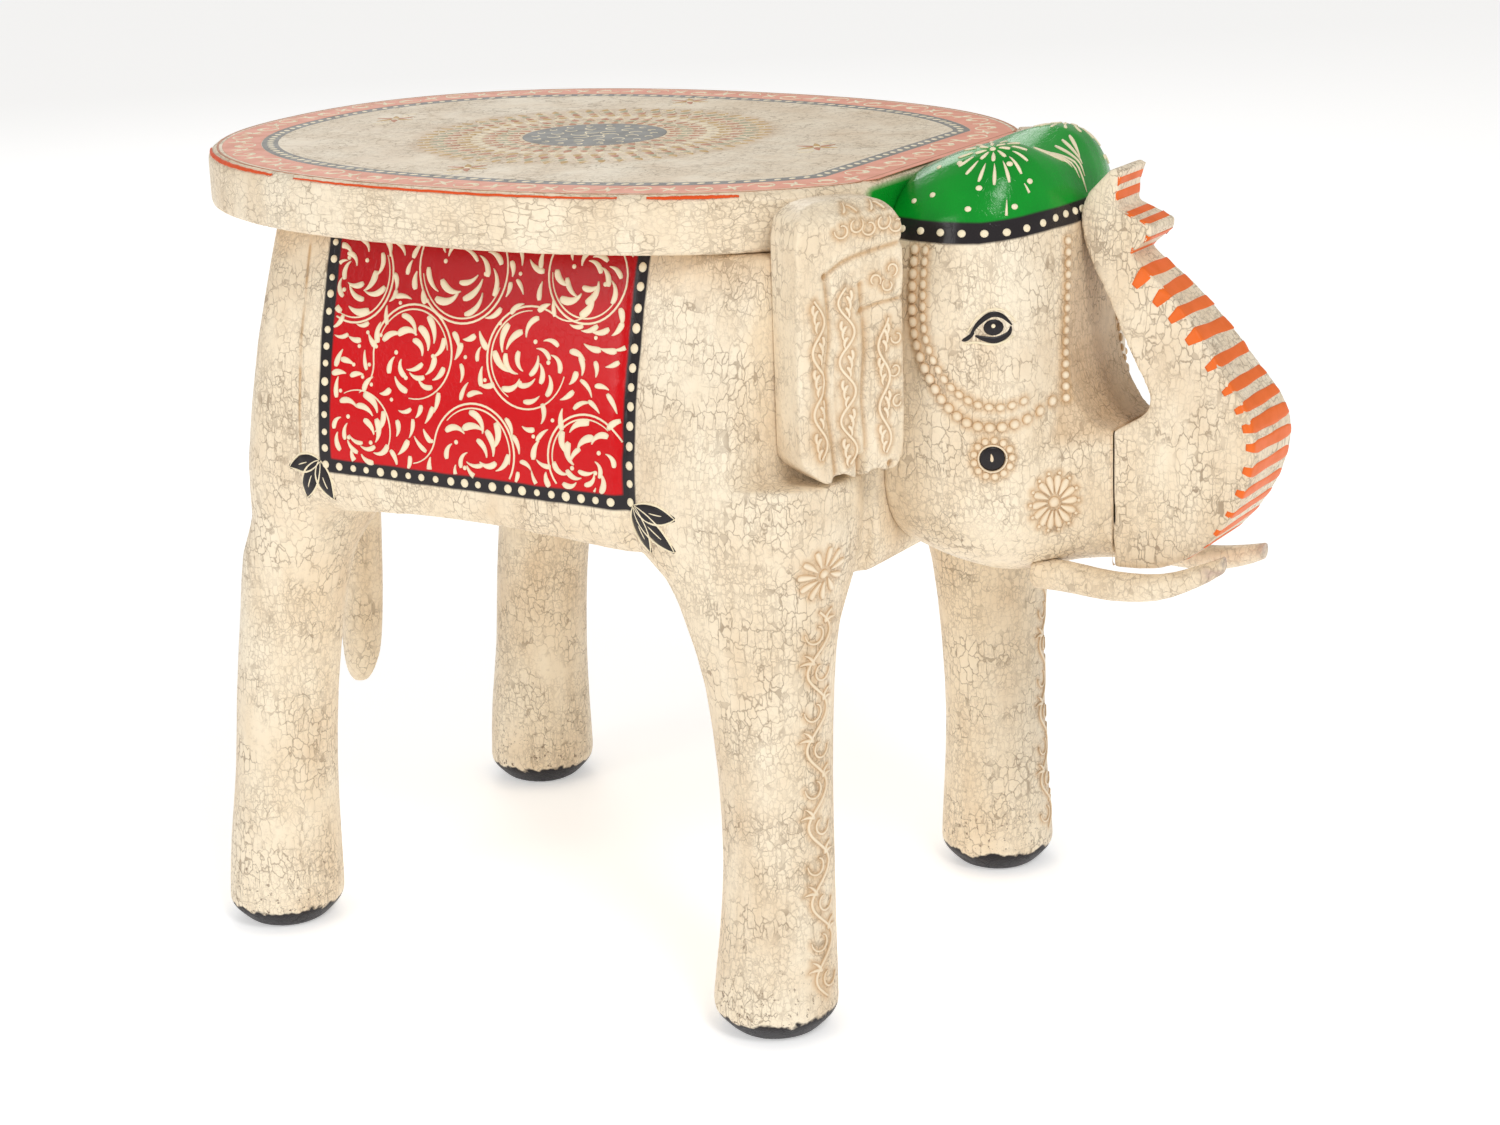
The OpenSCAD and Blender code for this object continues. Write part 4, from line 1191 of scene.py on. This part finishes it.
def draw_vine(relief, chart):
    """The flower and the climbing curls on the front of a front leg."""
    bottom, top, turns, heading = 16, 158, 5.0, 12
    points = []
    for k in range(160):
        t = k / 159
        points.append((heading + 13 * math.sin(2 * math.pi * turns * t), bottom + (top - bottom) * t))
    relief.line(chart, points, 0.7, 0.6, 0.8)
    for k in range(int(turns * 2)):
        v = bottom + (top - bottom) * (k + 0.5) / (turns * 2)
        flip = 1 if k % 2 else -1
        curl = arc((0, 0), 4.6, 90 - 90 * flip, -flip * 250, 16, 0.5)
        relief.line(chart, [(heading + 2.6 * a + 4 * flip, v + b) for a, b in curl], 0.55, 0.55)
        for turn in (20, 60):
            leaf = bent((0, 0), 6.0, 90 + turn * flip, 50 * flip, 7)
            relief.comma(chart, [(heading - 6 * flip + 2.6 * a, v + 3 + b) for a, b in leaf], 0.8, 0.6)
    for k in range(11):
        petal = bent(arc((0, 0), 9.5, 360 * k / 11, 1, 1)[0], 6.5, 180 + 360 * k / 11, 8, 7)
        relief.comma(chart, [(heading + 2.4 * a, 172 + b) for a, b in petal], 1.35, 0.8)
    relief.dot(chart, heading, 172, 1.9, 0.9)


EAR_SLANT = math.radians(59.4)
EAR_WIDTH = 40
EAR_FRONT = (SEAT_FRONT + 17, 67)


def ear_frame(sign):
    """The ear's rear corner and the directions along and out of its face, seen from above."""
    along = Vector((math.cos(EAR_SLANT), -sign * math.sin(EAR_SLANT)))
    out = Vector((math.sin(EAR_SLANT), sign * math.cos(EAR_SLANT)))
    return Vector((EAR_FRONT[0], sign * EAR_FRONT[1])) - along * EAR_WIDTH, along, out


def ear_ray(sign):
    """Rays straight into the ear's face. A chart point is (distance from the rear corner, z)."""
    rear, along, out = ear_frame(sign)
    def ray(u, v):
        start = rear + along * u + out * 40
        return at(start.x, start.y, v), Vector((-out.x, -out.y, 0))
    return ray


# Carved grooves of an ear: points along it as (distance from the rear corner, z), half width, depth
EAR_GROOVES = [
    ([(10.5, 274), (12, 255), (9.5, 236), (12, 218), (13.5, 203)], 1.3, 1.5),
    ([(24, 270), (25.5, 250), (24, 232), (25, 216), (23, 202)], 1.5, 1.8),
    ([(11, 274.5), (18, 278.5), (27.5, 280.7), (41, 282.8)], 1.3, 1.5),
    ([(23, 260.5), (31, 263), (41, 263.8)], 1.1, 1.3),
    ([(22.6, 211), (22.8, 201)], 1.6, 4.5), ([(34, 208), (34.6, 200)], 1.2, 2.4),
]


def carve_ear(bm, sign):
    """Cuts the flutes and folds of an ear into its face."""
    rear, along, out = ear_frame(sign)
    paths = [(smooth(points, 40), width, depth) for points, width, depth in EAR_GROOVES]
    for v in bm.verts:
        place = Vector(((v.co.x - SEAT_CENTRE_X) / MM, v.co.y / MM)) - rear
        u, level, z = place.dot(along), place.dot(out), v.co.z / MM
        if level < -5:
            continue
        depth = 0.0
        for path, width, deep in paths:
            gap = min(math.dist((u, z), point) for point in path)
            if gap < 4 * width:
                depth += deep * math.exp(-(gap / width) ** 2)
        panel = math.sin(math.pi * min(max((u % 13.5) / 13.5, 0), 1))
        depth += 0.9 * (1 - panel) * ease((272 - z) / 8)
        v.co -= Vector((out.x, out.y, 0)) * depth * MM * ease((level + 5) / 4)


# Stems of an ear: distance from the rear corner, sway, lowest and highest z, and waves
EAR_STEMS = [(7.2, 2.3, 213, 267, 2.6), (18, 2.8, 210, 270, 3.0), (32, 2.0, 212, 258, 2.2)]


def draw_ear(relief, chart, draw):
    """Climbing stems with curls, leaves and the small scrolls on the top fold."""
    for middle, sway, low, high, waves in EAR_STEMS:
        stem = []
        for k in range(61):
            t = k / 60
            stem.append((middle + sway * math.sin(2 * math.pi * waves * t), low + (high - low) * t))
        relief.line(chart, stem, 0.62, 0.6, 0.7)
        count = round(waves * 2)
        for k in range(count):
            flip = -1 if k % 2 else 1
            v = low + (high - low) * (k + 0.5) / count
            tip = (middle - 0.2 * flip * sway, v - 3.4)
            for start, turn, length in ((0.0, 42, 6.2), (3.0, 60, 5.0), (-2.2, 34, 4.4)):
                leaf = bent((tip[0], tip[1] + start), length, 90 + turn * flip, -95 * flip, 8)
                relief.comma(chart, list(reversed(leaf)), 0.8, 0.6)
    for k in range(5):
        odd = k % 2
        curl = arc((17 + 5.2 * k, 289 + 1.2 * odd), 3.0, 180 - 150 * odd, 290 - 580 * odd, 18, 0.55)
        relief.line(chart, curl, 0.5, 0.55)
        relief.comma(chart, bent((19 + 5.2 * k, 294), 3.6, 20 + 90 * odd, 70, 6), 0.6, 0.5)
    for u, v in ((35.5, 274), (34, 269), (29, 271), (37, 251), (36, 240), (37, 229)):
        relief.line(chart, arc((u, v), 2.4, draw.uniform(0, 360), 280, 14, 0.5), 0.5, 0.55)


LEG_MIDDLE = (116, 85)


def leg_ray(sign):
    """Rays towards a front leg's axis. A chart point is (angle from ahead to outside, z)."""
    def ray(u, v):
        angle = math.radians(u)
        out = Vector((math.cos(angle), sign * math.sin(angle), 0))
        return at(LEG_MIDDLE[0], sign * LEG_MIDDLE[1], v) + out * 0.12, -out
    return ray


# The trunk's outer edge from the underside up to the tip, as (s, z)
TRUNK_EDGE = [
    (222, 164), (236, 165), (248, 172), (257, 183), (263, 196), (266, 210), (263, 222), (255, 233),
    (244, 247), (233, 259), (222, 268),
]


TRUNK_CORE = 17
# Bars on the lips of the trunk's tip: s, z and the way that the lip faces, in degrees
LIP_BARS = [
    (215, 291.5, 0), (215, 296.5, 0), (224, 271.5, -12), (225, 277, -12), (222.5, 283, 60), (217.5, 286, 60),
]


def draw_trunk(orange, tree, draw):
    """Bars of orange across the front of the trunk and on the lips of its tip."""
    edge = smooth(TRUNK_EDGE, 8)
    def lay(u, v):
        i = min(max(int(u), 1), len(edge) - 2)
        place = Vector(edge[i]).lerp(Vector(edge[i + 1]), u - int(u))
        along = Vector(edge[i + 1]) - Vector(edge[i - 1])
        out = Vector((along.y, 0, -along.x)).normalized()
        turned = math.cos(v) * out + math.sin(v) * Vector((0, 1, 0))
        middle = at(place.x, 0, place.y) - out * TRUNK_CORE * MM
        return land(tree, middle + turned * 0.06, -turned, 0.06)
    bars, steps = 17, 64
    for k in range(bars):
        u = 3 + (len(edge) - 6) * k / (bars - 1)
        slant = draw.uniform(-0.6, 0.6)
        t = u / len(edge)
        reach = math.radians(51 - 4 * ease((t - 0.45) / 0.5) - 9 * ease((0.3 - t) / 0.2))
        width = draw.uniform(2.1, 2.7)
        shares = [j / steps for j in range(steps + 1)]
        points = [(u + slant * (t - 0.5), reach * (2 * t - 1)) for t in shares]
        widths = [
            width * min(1.0, 0.5 + 4.0 * min(t, 1 - t)) * (1 + 0.07 * math.sin(9 * t + k)) for t in shares]
        orange.stroke(lay, points, widths, 0.2)
    for s, z, tilt in LIP_BARS:
        out = Vector((math.cos(math.radians(tilt)), 0, math.sin(math.radians(tilt))))
        def lip(_, v, s=s, z=z, out=out):
            return land(tree, at(s, v, z) + out * 0.012, -out, 0.02)
        points = [(0, -13 + 26 * j / steps) for j in range(steps + 1)]
        widths = [1.7 * min(1.0, 0.5 + 4.0 * min(j, steps - j) / steps) for j in range(steps + 1)]
        orange.stroke(lip, points, widths, 0.12)


def glaze(pieces, reliefs):
    """Marks the skin close to raised work, where the ochre glaze was left in."""
    points = [v for relief in reliefs for v in relief.verts[::2]]
    tree = KDTree(len(points))
    for i, point in enumerate(points):
        tree.insert(point, i)
    tree.balance()
    reach = 1.9 * MM
    for piece in pieces:
        mesh = piece.data
        marks = [max(0.0, 1.0 - tree.find(v.co)[2] / reach) for v in mesh.vertices]
        layer = mesh.attributes.new("hollow", "FLOAT", "POINT")
        layer.data.foreach_set("value", marks)


def make_paints():
    """The plain brushed and piped paints, by name."""
    tints = {
        "cream": (CREAM, 0.38, 0.3), "bead": (CREAM, 0.35, 0.2), "black": (BLACK, 0.25, 0.25),
        "orange": (ORANGE, 0.4, 0.35), "edge": (EDGE_ORANGE, 0.4, 0.25), "salmon": (SALMON, 0.45, 0.5),
        "slate": (SLATE, 0.45, 0.5), "rust": (RUST, 0.45, 0.4), "ochre": (PALE_OCHRE, 0.45, 0.4),
        "leaf": (LEAF_GREEN, 0.45, 0.4),
    }
    paints = {name: paste_material(f"{name}_paint", *settings) for name, settings in tints.items()}
    paints["raised"] = raised_material("raised_paste")
    return paints


def decorate_body(tree, side, sign, paints, draw):
    """One side's cloth, tassels and leg vine. Gives back the vine."""
    chart = chart_on(tree, side_ray(sign))
    scrolls, beads, leaves, outlines, vine = [Relief() for _ in range(5)]
    draw_cloth(scrolls, beads, chart, draw)
    draw_tassel(leaves, outlines, chart, (-57, 195), ((188, 0.85), (232, 1.0), (277, 0.85)), 18)
    draw_tassel(leaves, outlines, chart, (78, 193), ((-14, 0.95), (-48, 1.15), (-80, 0.9)), 19)
    draw_vine(vine, chart_on(tree, leg_ray(sign)))
    scrolls.build(f"{side}_cloth_scrolls", paints["cream"], "flank_paint")
    beads.build(f"{side}_cloth_beads", paints["bead"], "flank_paint")
    leaves.build(f"{side}_tassel_leaves", paints["black"], "flank_paint")
    outlines.build(f"{side}_tassel_outlines", paints["cream"], "flank_paint")
    vine.build(f"{side}_leg_vine", paints["raised"], "cream_paint")
    return vine


def decorate_cheek(tree, side, sign, paints):
    """One side's eye, pendant, rosette and strings of beads. Gives back what is raised."""
    face = chart_on(tree, side_ray(sign, HEAD_SIDE, 0.25))
    black, cream, strings, rosette = [Relief() for _ in range(4)]
    draw_eye(black, cream, face)
    draw_pendant(black, strings, face)
    draw_rosette(rosette, chart_on(tree, side_ray(sign, MUZZLE_SIDE, 0.7)), (202.2, 189), 10.5, 14, 1.5)
    draw_beads(strings, face, smooth(OUTER_STRING, 8), 4.0, 1.75, 1.1)
    draw_beads(strings, face, smooth(INNER_STRING, 8), 3.7, 1.35, 1.25)
    brow_edge = [(37 - 6 * k / 20, 224 + 54 * k / 20) for k in range(21)]
    draw_beads(strings, chart_on(tree, head_ray(sign)), brow_edge, 3.8, 1.5)
    black.build(f"{side}_eye_and_pendant", paints["black"], "head_paint")
    cream.build(f"{side}_eye_folds_and_highlight", paints["bead"], "head_paint")
    rosette.build(f"{side}_cheek_rosette", paints["raised"], "head_paint")
    strings.build(f"{side}_bead_strings", paints["raised"], "head_paint")
    return [strings, rosette]


def decorate_cap(tree, side, sign, paints, draw):
    """One side's flowers and band of beads on the cap. The near side also has the fan."""
    cap = Relief()
    half_top = level_only(chart_on(tree, lambda u, v: top_ray(u, sign * v)))
    draw_cap(cap, half_top, chart_on(tree, head_ray(sign)), draw)
    if side == "right":
        draw_fan(cap, level_only(chart_on(tree, top_ray)))
    cap.build(f"{side}_cap_flowers", paints["cream"], "head_paint")


def decorate_seat(paints, draw):
    def on_seat(u, v):
        return at(u, v, SEAT_TOP), Vector((0, 0, 1))
    reliefs = draw_seat(on_seat, draw)
    for part, paint_name, name in (
        ("line", "rust", "seat_edge_line"), ("border", "salmon", "seat_border"),
        ("slate", "slate", "seat_bead_band"), ("cream", "cream", "seat_beads"),
        ("scroll", "cream", "seat_scrolls"), ("rust", "rust", "seat_petals_rust"),
        ("ochre", "ochre", "seat_petals_ochre"), ("leaf", "leaf", "seat_petals_leaf"),
    ):
        reliefs[part].build(name, paints[paint_name], "seat_paint")
    edge = Relief()
    draw_seat_edge(edge, draw)
    edge.build("seat_edge_strokes", paints["edge"], "seat_paint")


def decorate(skin, body, head, trunk, ears):
    """Everything that is laid on the carved and painted pieces."""
    paints = make_paints()
    body_tree, head_tree = surface(skin), surface(head.data)
    on_head, on_body = [], []
    for side, sign in SIDES.items():
        draw = random.Random(11 + sign)
        on_body.append(decorate_body(body_tree, side, sign, paints, draw))
        on_head += decorate_cheek(head_tree, side, sign, paints)
        carving = Relief()
        draw_ear(carving, chart_on(surface(ears[side].data), ear_ray(sign)), draw)
        carving.build(f"{side}_ear_vines", paints["raised"], "cream_paint")
        glaze([ears[side]], [carving])
        decorate_cap(head_tree, side, sign, paints, draw)
    glaze([head], on_head)
    glaze(body, on_body)
    draw = random.Random(5)
    bars = Relief()
    draw_trunk(bars, surface(trunk.data), draw)
    bars.build("trunk_bars", paints["orange"], "trunk_paint")
    decorate_seat(paints, draw)


make_camera()
make_studio()
make_floor()

body_paint = body_material()
head_paint = head_material()
trunk_paint = ivory_material("trunk_paint")
seat_paint = seat_material()
ear_paint = carved_material("ear_paint")
tusk_paint = tusk_material()
tail_paint = ivory_material("tail_paint")
wood = wood_material()

skin, body = make_body(body_paint)
head, trunk = make_head(head_paint, trunk_paint)
ears = {}
for side, sign in SIDES.items():
    ears[side] = make_single(
        f"{side}_ear", f"{side}_ear_carving", 0.7, 8, ear_paint, "cream_paint",
        lambda bm, sign=sign: carve_ear(bm, sign))
    make_single(f"{side}_tusk", f"{side}_tusk_carving", 0.6, 4, tusk_paint, "tusk_paint")
make_single("tail", "tail_carving", 0.9, 5, tail_paint, "cream_paint")
make_single("seat_top", "seat_board", 1.5, 3, seat_paint, "seat_paint")
for name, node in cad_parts.items():
    if "dowel" in name:
        node.data.materials.clear()
        node.data.materials.append(wood)

decorate(skin, body, head, trunk, ears)
